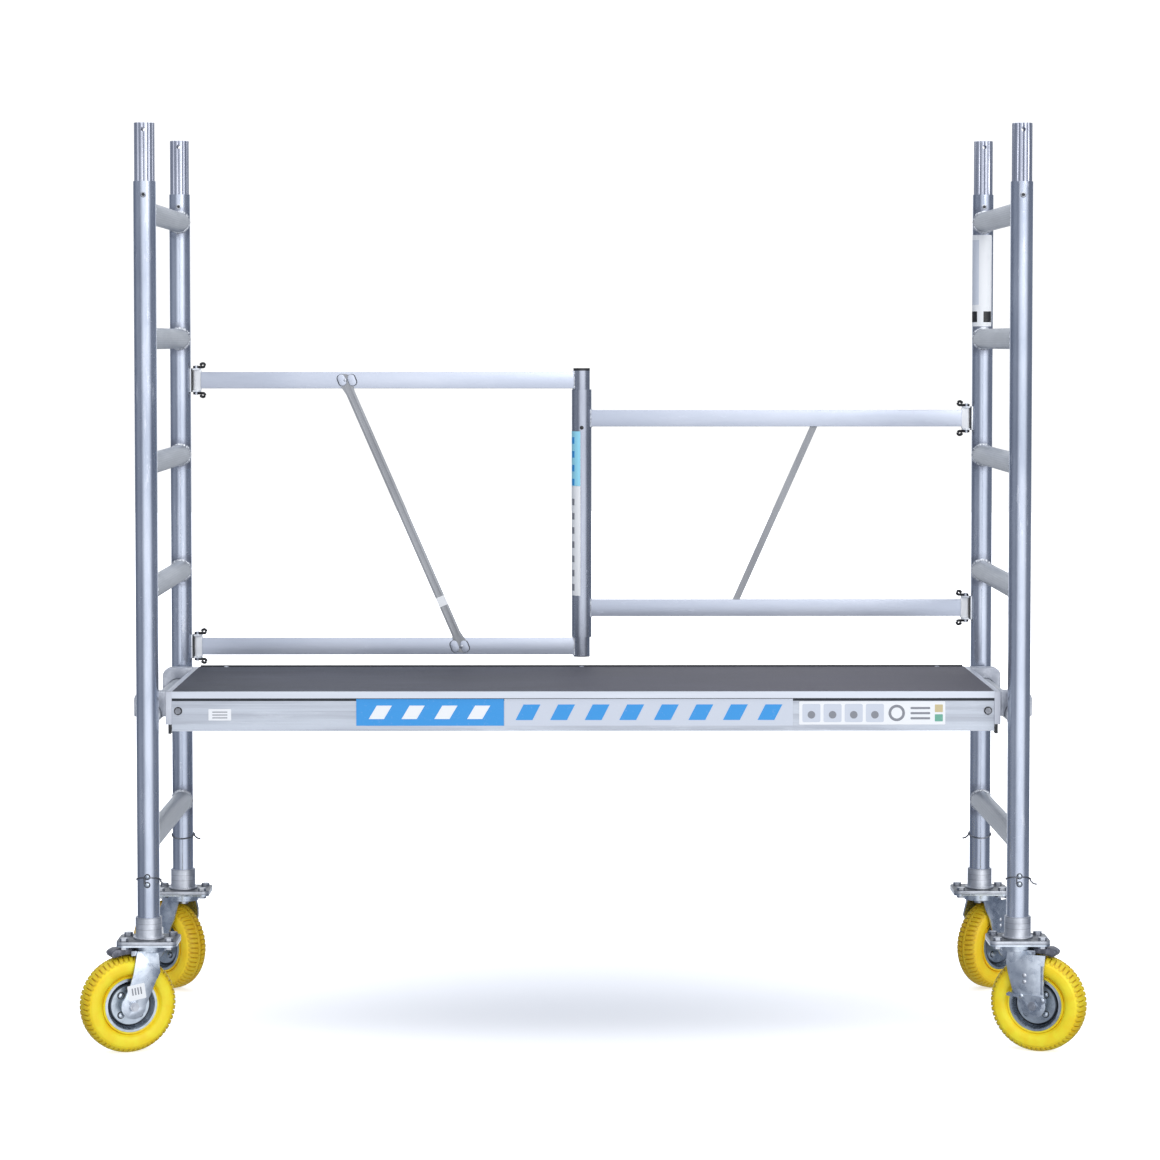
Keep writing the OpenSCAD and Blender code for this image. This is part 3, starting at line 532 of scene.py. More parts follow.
def mesh_of(points, faces, smooth=True, angle=40):
    mesh = bpy.data.meshes.new("made")
    mesh.from_pydata([tuple(p) for p in points], [], faces)
    face_outward(mesh, 1e-6)
    if smooth:
        round_off(mesh, angle)
    return mesh


def round_off(mesh, angle=40):
    """Smooth shading, with edges sharper than the angle kept crisp."""
    mesh.polygons.foreach_set("use_smooth", [True] * len(mesh.polygons))
    mesh.set_sharp_from_angle(angle=math.radians(angle))


def joined(meshes):
    """One mesh from several."""
    work = bmesh.new()
    for m in meshes:
        work.from_mesh(m)
    out = bpy.data.meshes.new("made")
    work.to_mesh(out)
    work.free()
    round_off(out)
    return out


def moved(mesh, matrix):
    copy = mesh.copy()
    copy.transform(matrix)
    if matrix.determinant() < 0:
        copy.flip_normals()
    return copy


def evaluated(mesh, *modifiers, **inputs):
    """The mesh with these modifiers worked into it: (type, settings) pairs, or a nodes tree."""
    holder = bpy.data.objects.new("holder", mesh)
    bpy.context.scene.collection.objects.link(holder)
    for kind, settings in modifiers:
        made = holder.modifiers.new(kind.lower(), kind)
        if kind == "NODES":
            made.node_group = settings
            for item in settings.interface.items_tree:
                if item.in_out == "INPUT" and item.name in inputs:
                    made[item.identifier] = inputs[item.name]
        else:
            for name, value in settings.items():
                setattr(made, name, value)
    bpy.context.view_layer.update()
    result = bpy.data.meshes.new_from_object(holder.evaluated_get(bpy.context.evaluated_depsgraph_get()))
    bpy.data.objects.remove(holder)
    return result


def lathe(outline, steps=96):
    """A closed outline of (radius, place along the axle) turned about the local Y axis."""
    points, faces, n = [], [], len(outline)
    for i in range(steps):
        a = 2 * math.pi * i / steps
        points += [(r * math.cos(a), w, r * math.sin(a)) for r, w in outline]
    for i in range(steps):
        for k in range(n):
            here, there = i * n, (i + 1) % steps * n
            k2 = (k + 1) % n
            faces.append((here + k, here + k2, there + k2, there + k))
    return mesh_of(points, faces)


def prism(outline, depth, place=None):
    """A flat outline of (u, v) given a thickness from 0 to depth along the third axis."""
    n = len(outline)
    points = [(u, v, 0.0) for u, v in outline] + [(u, v, depth) for u, v in outline]
    faces = [tuple(range(n)), tuple(range(2 * n - 1, n - 1, -1))]
    faces += [(i, (i + 1) % n, n + (i + 1) % n, n + i) for i in range(n)]
    mesh = mesh_of(points, faces, angle=30)
    if place is not None:
        mesh.transform(place)
    return mesh


def rounded(width, height, radius, steps=4):
    """A rectangle round the origin with round corners."""
    out = []
    for cx, cy, start in ((1, 1, 0), (-1, 1, 90), (-1, -1, 180), (1, -1, 270)):
        for i in range(steps + 1):
            a = math.radians(start + 90 * i / steps)
            out.append((cx * (width / 2 - radius) + radius * math.cos(a),
                        cy * (height / 2 - radius) + radius * math.sin(a)))
    return out


def bevel(width, segments, angle):
    return {"width": width, "segments": segments, "limit_method": "ANGLE", "angle_limit": math.radians(angle)}


def softened(node, width, segments=2):
    """A copy of a CAD node with its sharp edges rounded by width."""
    work = bmesh.new()
    work.from_mesh(NODES[node].data)
    bmesh.ops.remove_doubles(work, verts=work.verts, dist=2e-6)
    bmesh.ops.dissolve_limit(work, angle_limit=math.radians(1.0), verts=work.verts, edges=work.edges)
    mesh = bpy.data.meshes.new("copy")
    work.to_mesh(mesh)
    work.free()
    mesh.materials.clear()
    out = evaluated(mesh, ("BEVEL", bevel(width, segments, 40)))
    round_off(out, 35)
    return out


def wire(points, radius, sides=8):
    """Round wire along a path of points, with closed ends."""
    points = [Vector(p) for p in points]
    rings, faces = [], []
    for i, p in enumerate(points):
        way = (points[min(i + 1, len(points) - 1)] - points[max(i - 1, 0)]).normalized()
        across = way.cross(Vector((0, 0, 1)) if abs(way.z) < 0.9 else Vector((1, 0, 0))).normalized()
        up = across.cross(way)
        rings += [p + (across * math.cos(a) + up * math.sin(a)) * radius
                  for a in (2 * math.pi * k / sides for k in range(sides))]
    for i in range(len(points) - 1):
        a, b = i * sides, (i + 1) * sides
        faces += [(a + k, a + (k + 1) % sides, b + (k + 1) % sides, b + k) for k in range(sides)]
    faces += [tuple(range(sides)), tuple((len(points) - 1) * sides + k for k in range(sides))]
    return mesh_of(rings, faces, angle=60)


# ---------------------------------------------------------------- repeated shapes


class Repeat:
    """A geometry tree that copies a small shape onto the points of what it is given."""

    def __init__(self, name, shape):
        self.tree = bpy.data.node_groups.new(name, "GeometryNodeTree")
        face = self.tree.interface
        face.new_socket("Geometry", in_out="INPUT", socket_type="NodeSocketGeometry")
        face.new_socket("Geometry", in_out="OUTPUT", socket_type="NodeSocketGeometry")
        for label, kind, value in (("Size", "NodeSocketFloat", 1.0), ("Spread", "NodeSocketFloat", 0.0),
                                   ("Seed", "NodeSocketInt", 1), ("Count", "NodeSocketInt", 1),
                                   ("Step", "NodeSocketVector", (0.0, 0.0, 0.0)),
                                   ("Turn", "NodeSocketVector", (0.0, 0.0, 0.0)),
                                   ("Finish", "NodeSocketMaterial", None)):
            socket = face.new_socket(label, in_out="INPUT", socket_type=kind)
            if value is not None:
                socket.default_value = value
        self.inside = Shader(self.tree)
        self.given = self.tree.nodes.new("NodeGroupInput")
        points = self.at("Geometry") if shape else self.row()
        body = shape(self) if shape else self.at("Geometry")
        size = self.inside.node("FunctionNodeRandomValue", {"data_type": "FLOAT"},
                                {2: self.at("Size") * (1 - self.at("Spread")),
                                 3: self.at("Size") * (1 + self.at("Spread")), 8: self.at("Seed")}, 1)
        values = {"Points": points, "Instance": body, "Scale": size}
        if not shape:
            index = self.inside.node("GeometryNodeInputIndex")
            values["Rotation"] = self.inside.node("ShaderNodeVectorMath", {"operation": "SCALE"},
                                                  {0: self.at("Turn"), "Scale": index})
        copies = self.inside.node("GeometryNodeInstanceOnPoints", None, values)
        real = self.inside.node("GeometryNodeRealizeInstances", None, {0: copies})
        coated = {"Geometry": real, "Material": self.at("Finish")}
        done = self.inside.node("GeometryNodeSetMaterial", None, coated)
        last = self.tree.nodes.new("NodeGroupOutput")
        self.tree.links.new(done.socket, last.inputs[0])

    def at(self, name):
        return Value(self.inside, self.given.outputs[name])

    def row(self):
        return self.inside.node("GeometryNodeMeshLine", {"mode": "OFFSET"},
                                {"Count": self.at("Count"), "Offset": self.at("Step")})

    def make(self, mesh, finish, **inputs):
        return evaluated(mesh, ("NODES", self.tree), Finish=finish, **inputs)


def droplet(repeat):
    return repeat.inside.node("GeometryNodeMeshUVSphere", None, {"Segments": 8, "Rings": 5, "Radius": 1.0})


ALONG_PATH = Repeat("beads_on_a_path", droplet)
IN_A_ROW = Repeat("copies_in_a_row", None)


def bead(name, paths, radius, body, finish, seed):
    """Weld bead: overlapping droplets along each path of points."""
    points = bpy.data.meshes.new("path")
    points.from_pydata([tuple(p) for path in paths for p in path], [], [])
    mesh = ALONG_PATH.make(points, finish, Size=radius, Spread=0.22, Seed=seed)
    round_off(mesh, 80)
    return finish_piece(name, mesh, body, finish)


# ---------------------------------------------------------------- the finishes of this scaffold

POST = aluminium("post_aluminium", "z", (0.58, 0.61, 0.68), (0.34, 0.36, 0.42), rough=0.26, marks=0.5)
SPIGOT = aluminium("spigot_aluminium", "z", (0.66, 0.68, 0.76), (0.42, 0.44, 0.52), rough=0.28, marks=0.3)
RAIL = aluminium("rail_aluminium", "x", (0.66, 0.69, 0.77), (0.50, 0.54, 0.63), 0.40, 0.62, 0.35)
BRACE = aluminium("brace_aluminium", "z", (0.40, 0.41, 0.425), (0.25, 0.255, 0.27), 0.40, 0.5)
BEAM = aluminium("beam_aluminium", "x", (0.76, 0.79, 0.84), (0.58, 0.61, 0.68), 0.42, 0.55, 0.3)
END_PLATE = aluminium("end_plate_aluminium", "y", (0.72, 0.74, 0.79), (0.50, 0.52, 0.58), 0.42, 0.6)
CAST = cast_aluminium("cast_aluminium_skin")
TURNED = turned_aluminium("turned_collar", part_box("caster_sockets")[0].z)
ZINC = zinc("bright_zinc")
FORK = zinc("fork_zinc", (0.80, 0.85, 0.91), (0.30, 0.35, 0.43), rough=0.21, metal=0.92)
BOLT = zinc("bolt_zinc", (0.70, 0.72, 0.76), (0.34, 0.36, 0.41), rough=0.28)
DARK_BOLT = zinc("dark_bolt_zinc", (0.42, 0.43, 0.46), (0.10, 0.105, 0.12), rough=0.26)
WELD = weld_metal("weld_bead")
SPRING = black_spring("black_spring_wire")
BLACK = moulded("black_moulding", (0.030, 0.031, 0.034), (0.016, 0.016, 0.018), 0.46)
PEDAL = pedal_coating("pedal_coating")
FOIL_BLUE = foil("foil_blue", (0.034, 0.33, 0.78))
FOIL_SKY = foil("foil_sky", (0.34, 0.78, 0.96))
FOIL_WHITE = foil("foil_white", (0.93, 0.94, 0.95))
FOIL_PALE = foil("foil_pale", (0.66, 0.70, 0.78))
FOIL_GREY = foil("foil_grey", (0.26, 0.27, 0.30))
FOIL_BLACK = foil("foil_black", (0.018, 0.018, 0.020))
FOIL_SAND = foil("foil_sand", (0.66, 0.55, 0.30))
FOIL_GREEN = foil("foil_green", (0.16, 0.45, 0.33))


def paint(material, *nodes):
    for node in nodes:
        for slot in NODES[node].material_slots:
            slot.material = material


paint(POST, "inner_post", "outer_post")
paint(BEAM, "cross_members")
paint(BOLT, "plate_bolts", "king_pins", "spigot_rivets", "left_hinge_pins", "right_hinge_pins",
      "lock_clips")
paint(DARK_BOLT, "beam_bolts")
paint(SPRING, "left_hinge_clips", "right_hinge_clips")
paint(BLACK, "end_stops", "post_caps")
paint(ZINC, "caster_plates")
paint(BRACE, "right_brace")

# Heights and places that several pieces share
# where the painted gap shadow begins on the hinge saddles and blocks
SADDLE_GAP_SHADOW_X = 0.9395
BLOCK_GAP_SHADOW_X = 0.9388
STICKER_THICK = 0.0003
PRINT_THICK = 0.0002
rung_low, rung_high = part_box("left_rungs")
RUNG_R = (rung_high.x - rung_low.x) / 2
LADDER_X = abs((rung_low.x + rung_high.x) / 2)
FIRST_RUNG = rung_low.z + RUNG_R
RUNGS = 6
RUNG_PITCH = (rung_high.z - rung_low.z - 2 * RUNG_R) / (RUNGS - 1)
STILE_Y = abs(centre_of("left_front_stile").y)
stile_low, stile_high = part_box("left_front_stile")
STILE_R = (stile_high.x - stile_low.x) / 2
STILE_TOP = stile_high.z
STILES = [(sx * LADDER_X, sy * STILE_Y) for sx in (-1, 1) for sy in (-1, 1)]
deck_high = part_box("deck_board")[1]
DECK_TOP = deck_high.z

STILE = stile_aluminium("stile_aluminium", FIRST_RUNG, RUNG_PITCH, STILE_Y)
paint(STILE, "left_front_stile", "left_rear_stile", "right_front_stile", "right_rear_stile")
RUNG = rung_aluminium("rung_aluminium", FIRST_RUNG, RUNG_PITCH, LADDER_X)
paint(RUNG, "left_rungs", "right_rungs")
paint(beam_aluminium("ribbed_beam_aluminium", DECK_TOP - 0.015, 0.300), "front_beam", "rear_beam")
paint(deck_film("deck_film", deck_high.y, deck_high.z - 0.004), "deck_board")


# ---------------------------------------------------------------- ladders


def fluted_spigot(radius, bore, low, high, hole_z, hole_r, flutes=12, depth=0.0016):
    """A spigot with flutes down its outside, a chamfered top and a cross hole."""
    around = flutes * 12
    turns = [2 * math.pi * i / around for i in range(around)]

    def reach(a):
        off = (a * flutes / (2 * math.pi) + 0.5) % 1.0 - 0.5
        return radius - depth * math.exp(-((off * 2 * math.pi * radius / flutes / 0.0016) ** 2))

    chamfer = 0.001
    rings = [(low, 0.0, True), (high - chamfer, 0.0, True), (high, chamfer, True), (high, None, False),
             (low, None, False)]
    points, faces = [], []
    for z, cut, outside in rings:
        for a in turns:
            r = reach(a) - cut if outside else bore
            points.append((r * math.cos(a), r * math.sin(a), z))
    for k in range(len(rings)):
        a, b = k * around, (k + 1) % len(rings) * around
        faces += [(a + i, a + (i + 1) % around, b + (i + 1) % around, b + i) for i in range(around)]
    spigot = mesh_of(points, faces, angle=50)
    reach_y = 0.04
    drill_mesh = lathe([(ON_AXIS, -reach_y), (hole_r, -reach_y), (hole_r, reach_y), (ON_AXIS, reach_y)], 32)
    drill_mesh.transform(shifted((0, 0, hole_z)))
    drill = bpy.data.objects.new("drill", drill_mesh)
    bpy.context.scene.collection.objects.link(drill)
    out = evaluated(spigot, ("BOOLEAN", {"operation": "DIFFERENCE", "object": drill, "solver": "EXACT"}))
    bpy.data.objects.remove(drill)
    return out


def make_spigots():
    radius, top = 0.0227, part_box("spigots")[1].z
    one = fluted_spigot(radius, radius - 0.003, STILE_TOP - 0.006, top, top - 0.015, 0.005)
    copies = [moved(one, shifted((x, y, 0))) for x, y in STILES]
    finish_piece("fluted_spigots", joined(copies), "frame", SPIGOT, ["spigots"])


def rung_seam(x, y_stile, z, inward):
    """The line where a rung meets its stile."""
    path, beads = [], 44
    for i in range(beads):
        a = 2 * math.pi * i / beads
        dx = RUNG_R * math.cos(a)
        y = y_stile + inward * math.sqrt(max(STILE_R ** 2 - dx ** 2, 0.0))
        path.append((x + dx * 1.01, y + inward * 0.0006, z + RUNG_R * math.sin(a) * 1.01))
    return path


def make_lock_clips():
    """Snap clips that lock a caster in its stile: a wire ring, its button, and a finger pull."""
    z, wire_r = centre_of("lock_clips").z, 0.0016
    ring_r = STILE_R + wire_r
    button = lathe([(ON_AXIS, 0.0052), (0.0030, 0.0049), (0.0048, 0.0034), (0.0053, 0.0), (ON_AXIS, 0.0)], 28)
    pad = lathe([(0.0052, 0.0), (0.0068, 0.0), (0.0068, 0.0008), (0.0052, 0.0014)], 28)
    wires, buttons, pads = [], [], []
    for x, y in STILES:
        face = -1 if y < 0 else 1
        start = math.radians(90 * face)
        ring = [(x + ring_r * math.cos(start + t), y + ring_r * math.sin(start + t),
                 z + 0.0075 * math.cos(t)) for t in (2 * math.pi * k / 48 for k in range(49))]
        wires.append(wire(ring, wire_r))
        hook = [(x - 0.0062, y + face * (ring_r + 0.0004), z + dz) for dz in (0.0075, 0.0, -0.0080)]
        wires.append(wire(hook, wire_r))
        at = shifted((x, y + face * (STILE_R - 0.0003), z)) @ mirrored(face)
        for dz in (0.0088, -0.0092):
            buttons.append(moved(button, at @ shifted((0.0004, 0, dz))))
            pads.append(moved(pad, at @ shifted((0.0004, 0, dz))))
        way = -1 if x > 0 and y > 0 else 1
        knob = Vector((x + way * (ring_r + 0.0012), y + face * 0.004, z - 0.004))
        bends = ((0, 0, 0.006), (0, 0, 0), (way * 0.006, face * 0.002, -0.006),
                 (way * 0.014, face * 0.003, -0.008))
        wires.append(wire([knob + Vector(b) for b in bends], wire_r * 1.3))
    finish_piece("snap_clip_wires", joined(wires), "frame", DARK_BOLT, ["lock_clips"])
    finish_piece("snap_clip_buttons", joined(buttons), "frame", ZINC)
    finish_piece("snap_clip_pads", joined(pads), "frame", BLACK)


def make_ladder_welds():
    """A full bead above and below each rung, and a thin one at its flanks."""
    for side, sign in (("left", -1), ("right", 1)):
        seams = [rung_seam(sign * LADDER_X, sy * STILE_Y, FIRST_RUNG + k * RUNG_PITCH, -sy)
                 for k in range(RUNGS) for sy in (-1, 1)]
        flank = sign * LADDER_X
        split = 0.88 * RUNG_R
        wide = [[p for p in seam_shadow if abs(p[0] - flank) < split] for seam_shadow in seams]
        narrow = [[p for p in seam_shadow if abs(p[0] - flank) >= split] for seam_shadow in seams]
        bead(side + "_rung_welds", wide, 0.0040, "frame", WELD, 3 + sign)
        bead(side + "_rung_weld_flanks", narrow, 0.0021, "frame", WELD, 6 + sign)


def make_spigot_rivets():
    """Tubular rivets through the stile and its spigot: a bright rolled rim round a black disc painted as the
    shade in the hole.
    """
    z = centre_of("spigot_rivets").z
    rim = lathe([(0.0034, -0.0015), (0.0034, 0.0006), (0.0042, 0.0013), (0.0058, 0.0010), (0.0066, 0.0002),
                 (0.0066, -0.0015)], 28)
    # painted shade: a black disc in each rivet's hole
    hole_shadow = lathe([(ON_AXIS, -0.001), (0.0036, -0.001), (0.0036, 0.0002), (ON_AXIS, 0.0002)], 20)
    rims, hole_shadows = [], []
    for x, y in STILES:
        for side in (-1, 1):
            at = shifted((x, y + side * (STILE_R - 0.0002), z)) @ mirrored(side)
            rims.append(moved(rim, at))
            hole_shadows.append(moved(hole_shadow, at))
    finish_piece("tubular_rivets", joined(rims), "frame", BOLT, ["spigot_rivets"])
    finish_piece("tubular_rivet_hole_shadows", joined(hole_shadows), "frame", BLACK)


make_spigots()
make_spigot_rivets()
make_lock_clips()
make_ladder_welds()


# ---------------------------------------------------------------- stickers


def arc(x, y, radius, turns):
    return [(x + radius * math.cos(a), y + radius * math.sin(a)) for a in turns]


def flat_sticker(name, low, high, y, material, body, thick=STICKER_THICK, radius=0.002):
    """A sticker on a face that looks to the front, from corner to corner of X and Z."""
    width, height = high[0] - low[0], high[1] - low[1]
    outline = rounded(width, height, min(radius, width / 2.2, height / 2.2))
    place = shifted(((low[0] + high[0]) / 2, y, (low[1] + high[1]) / 2)) @ TO_FRONT
    finish_piece(name, prism(outline, thick, place), body, material)


def curved_sticker(name, x, y, radius, z0, z1, a0, a1, material, body, thick=STICKER_THICK):
    """A sticker round a post, from angle a0 to a1 in degrees; -90 looks to the front."""
    steps = max(4, int(abs(a1 - a0) / 5))
    turns = [math.radians(a0 + (a1 - a0) * i / steps) for i in range(steps + 1)]
    outline = arc(x, y, radius + thick, turns) + arc(x, y, radius - 0.0002, turns[::-1])
    finish_piece(name, prism(outline, z1 - z0, shifted((0, 0, z0))), body, material)


def row_of(name, mesh, count, step, material, body):
    """Copies of a shape, each moved on by the step."""
    made = IN_A_ROW.make(mesh, material, Size=1.0, Count=count, Step=step)
    round_off(made, 30)
    finish_piece(name, made, body, material)


def block_at(x, y, z, width, height, radius, steps=4):
    """A thin printed block with round corners, on a face that looks to the front."""
    return prism(rounded(width, height, radius, steps), PRINT_THICK, shifted((x, y, z)) @ TO_FRONT)


def slanted_bar(x, y, z, width, height, lean):
    outline = [(-width / 2 - lean / 2, -height / 2), (width / 2 - lean / 2, -height / 2),
               (width / 2 + lean / 2, height / 2), (-width / 2 + lean / 2, height / 2)]
    return prism(outline, PRINT_THICK, shifted((x, y, z)) @ TO_FRONT)


def make_beam_stickers():
    """Plain stripes and blocks on the front beam."""
    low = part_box("front_beam")[0]
    y = low.y + 0.0028
    front = y - STICKER_THICK
    on_top = front - PRINT_THICK
    band_low, band_high = low.z + 0.012, low.z + 0.0725
    middle, tall = (band_low + band_high) / 2, band_high - band_low
    part = "platform"
    flat_sticker("blue_band", (-0.509, band_low), (-0.178, band_high), y, FOIL_BLUE, part, radius=0.001)
    flat_sticker("pale_band", (-0.177, band_low), (0.470, band_high), y, FOIL_PALE, part, radius=0.001)
    stripe = slanted_bar(-0.455, front, middle, 0.034, tall * 0.5, 0.018)
    row_of("white_stripes", stripe, 4, (0.0735, 0, 0), FOIL_WHITE, part)
    stripe = slanted_bar(-0.124, front, middle, 0.038, tall * 0.58, 0.018)
    row_of("blue_stripes", stripe, 8, (0.0775, 0, 0), FOIL_BLUE, part)
    flat_sticker("info_strip", (0.484, band_low + 0.002), (0.812, band_high - 0.006), y, FOIL_WHITE, part)
    square_x, square_step = 0.5115, (0.0475, 0, 0)
    square = block_at(square_x, front, middle - 0.002, 0.0405, 0.041, 0.004)
    row_of("info_squares", square, 4, square_step, FOIL_PALE, part)
    dot = block_at(square_x, on_top, middle - 0.006, 0.017, 0.017, 0.0084, 8)
    row_of("info_dots", dot, 4, square_step, FOIL_GREY, part)
    inner, outer = 0.0125, 0.0185
    ring = lathe([(inner, 0.0), (outer, 0.0), (outer, PRINT_THICK), (inner, PRINT_THICK)], 40)
    ring.transform(shifted((0.703, on_top, middle - 0.002)))
    finish_piece("info_ring", ring, part, FOIL_GREY)
    line = block_at(0.756, front, middle - 0.014, 0.044, 0.0048, 0.0015)
    row_of("info_lines", line, 3, (0, 0, 0.0115), FOIL_GREY, part)
    left, right = 0.7885, 0.8065
    flat_sticker("info_sand", (left, middle), (right, middle + 0.017), front, FOIL_SAND, part,
                 PRINT_THICK, 0.001)
    flat_sticker("info_green", (left, middle - 0.021), (right, middle - 0.005), front, FOIL_GREEN, part,
                 PRINT_THICK, 0.001)
    flat_sticker("maker_plate", (-0.840, low.z + 0.024), (-0.789, low.z + 0.050), y, FOIL_WHITE, part)
    line = block_at(-0.8145, front, low.z + 0.030, 0.034, 0.0022, 0.0008)
    row_of("maker_plate_lines", line, 3, (0, 0, 0.0065), FOIL_GREY, part)


def make_post_stickers():
    """The two-part sticker round the sleeve post, with plain blocks, and the button above it."""
    low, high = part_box("outer_post")
    x, y, r = (low.x + high.x) / 2, (low.y + high.y) / 2, (high.x - low.x) / 2
    top, part = high.z - 0.101, "guard_right"
    wrap = (-215, -98)
    curved_sticker("sleeve_sticker_sky", x, y, r, top - 0.132, top, *wrap, FOIL_SKY, part)
    curved_sticker("sleeve_sticker_white", x, y, r, top - 0.398, top - 0.1325, *wrap, FOIL_WHITE, part)
    turns = [math.radians(a) for a in (-160, -148, -136)]
    outline = arc(x, y, r + 0.0005, turns) + arc(x, y, r + 0.0002, turns[::-1])
    block = prism(outline, 0.016, shifted((0, 0, top - 0.386)))
    grey_step, sky_step = 0.0345, 0.0335
    row_of("sleeve_sticker_blocks", block, 7, (0, 0, grey_step), FOIL_GREY, part)
    sky_block = moved(block, shifted((0, 0, 7.4 * grey_step)))
    row_of("sleeve_sticker_sky_blocks", sky_block, 4, (0, 0, sky_step), FOIL_BLUE, part)
    button = lathe([(ON_AXIS, 0.0022), (0.0034, 0.0020), (0.0046, 0.0010), (0.0048, -0.0008),
                    (ON_AXIS, -0.0008)], 24)
    on_front = shifted((x, y - r, high.z - 0.092)) @ TURNED_OVER
    finish_piece("sleeve_button", moved(button, on_front), part, BLACK)


def make_stile_sticker():
    """The wrapped notice on the inside of the right rear stile, as plain blocks."""
    x, y = LADDER_X, STILE_Y
    z0, z1 = FIRST_RUNG + 4 * RUNG_PITCH + 0.030, FIRST_RUNG + 5 * RUNG_PITCH - 0.030
    curved_sticker("stile_sticker", x, y, STILE_R, z0, z1, -200, -40, FOIL_WHITE, "frame")
    dark = (z0 + 0.010, z0 + 0.036)
    for name, levels, turns, foil_used in (("panel", (z0 + 0.052, z1 - 0.012), (-175, -118), FOIL_PALE),
                                           ("dark_left", dark, (-198, -128), FOIL_BLACK),
                                           ("dark_right", dark, (-92, -44), FOIL_BLACK)):
        curved_sticker("stile_sticker_" + name, x, y, STILE_R + STICKER_THICK, *levels, *turns, foil_used,
                       "frame", PRINT_THICK)


make_beam_stickers()
make_post_stickers()
make_stile_sticker()


# ---------------------------------------------------------------- platform


def make_platform():
    """The cast claws, the end plates and the small parts that sit on them and on the deck."""
    part = "platform"
    finish_piece("end_plates", softened("end_members", 0.0012), part, END_PLATE,
                 ["end_members"])
    low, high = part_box("end_members")
    cap = prism(rounded(0.0136, high.z - low.z - 0.0008, 0.0012, 3), 0.0012, TO_FRONT)
    caps = [moved(cap, shifted((sx * (high.x - 0.007), y, (low.z + high.z) / 2)))
            for sx in (-1, 1) for y in (low.y + 0.0010, high.y + 0.0002)]
    # painted shadow: a black strip along the deck's rear edge, where the rear beam's lip is in shade
    end_gap, half, top_half, shoulder, tall = 0.003, 0.0022, 0.0014, 0.0026, 0.0036
    outline = [(-half, 0.0), (half, 0.0), (half, shoulder), (top_half, tall), (-top_half, tall),
               (-half, shoulder)]
    rear_shadow_strip = prism(outline, 2 * (deck_high.x - end_gap))
    along = Matrix(((0, 0, 1, end_gap - deck_high.x), (1, 0, 0, deck_high.y + shoulder),
                    (0, 1, 0, DECK_TOP - 0.0001), (0, 0, 0, 1)))
    finish_piece("deck_rear_shadow_strip", moved(rear_shadow_strip, along), part, BLACK)
    finish_piece("end_plate_caps", joined(caps), part, END_PLATE)
    low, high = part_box("beam_bolts")
    inner, outer, thick = 0.0050, 0.0092, 0.0010
    washer = lathe([(inner, 0.0), (outer, 0.0), (outer, thick), (inner, thick)], 36)
    washers = [moved(washer, shifted((sx * (high.x - 0.0075), y, (low.z + high.z) / 2)))
               for sx in (-1, 1) for y in (low.y + 0.0036, high.y - 0.0046)]
    finish_piece("beam_bolt_washers", joined(washers), part, BLACK)
    finish_piece("cast_claws", softened("platform_claws", 0.0025, 3), part, CAST,
                 ["platform_claws"])
    head = lathe([(ON_AXIS, 0.0), (0.0062, 0.0), (0.0062, 0.0006), (0.0045, 0.0016), (0.0020, 0.0021),
                  (ON_AXIS, 0.0022)], 20)
    head.transform(TO_FRONT)
    span = 0.857
    head.transform(shifted((-span, deck_high.y - 0.0045, DECK_TOP - 0.0001)))
    row_of("deck_rivets", head, 3, (span, 0, 0), BOLT, part)


make_platform()


# ---------------------------------------------------------------- guard frame


def make_rails():
    for side in ("left", "right"):
        for node in (side + "_top_rail", side + "_bottom_rail"):
            finish_piece(node + "_profile", softened(node, 0.0016, 3), "guard_" + side, RAIL,
                         [node])


def rail_seam(rail, post_node, side):
    """The line where a rail's end meets its post."""
    low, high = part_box(rail)
    pl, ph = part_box(post_node)
    r, y0 = (ph.x - pl.x) / 2, (pl.y + ph.y) / 2
    corners = [(low.y, low.z), (high.y, low.z), (high.y, high.z), (low.y, high.z)]
    path = []
    for (ya, za), (yb, zb) in zip(corners, corners[1:] + corners[:1]):
        n = max(3, int(math.hypot(yb - ya, zb - za) / 0.0034))
        path += [(side * math.sqrt(max(r * r - (ya + (yb - ya) * i / n - y0) ** 2, 0.0)),
                  ya + (yb - ya) * i / n, za + (zb - za) * i / n) for i in range(n)]
    return path


def make_rail_welds():
    for side, post_node, sign, seed in (("left", "inner_post", -1, 11), ("right", "outer_post", 1, 12)):
        seams = [rail_seam(side + rail, post_node, sign) for rail in ("_top_rail", "_bottom_rail")]
        bead(side + "_rail_welds", seams, 0.0022, "guard_" + side, WELD, seed)


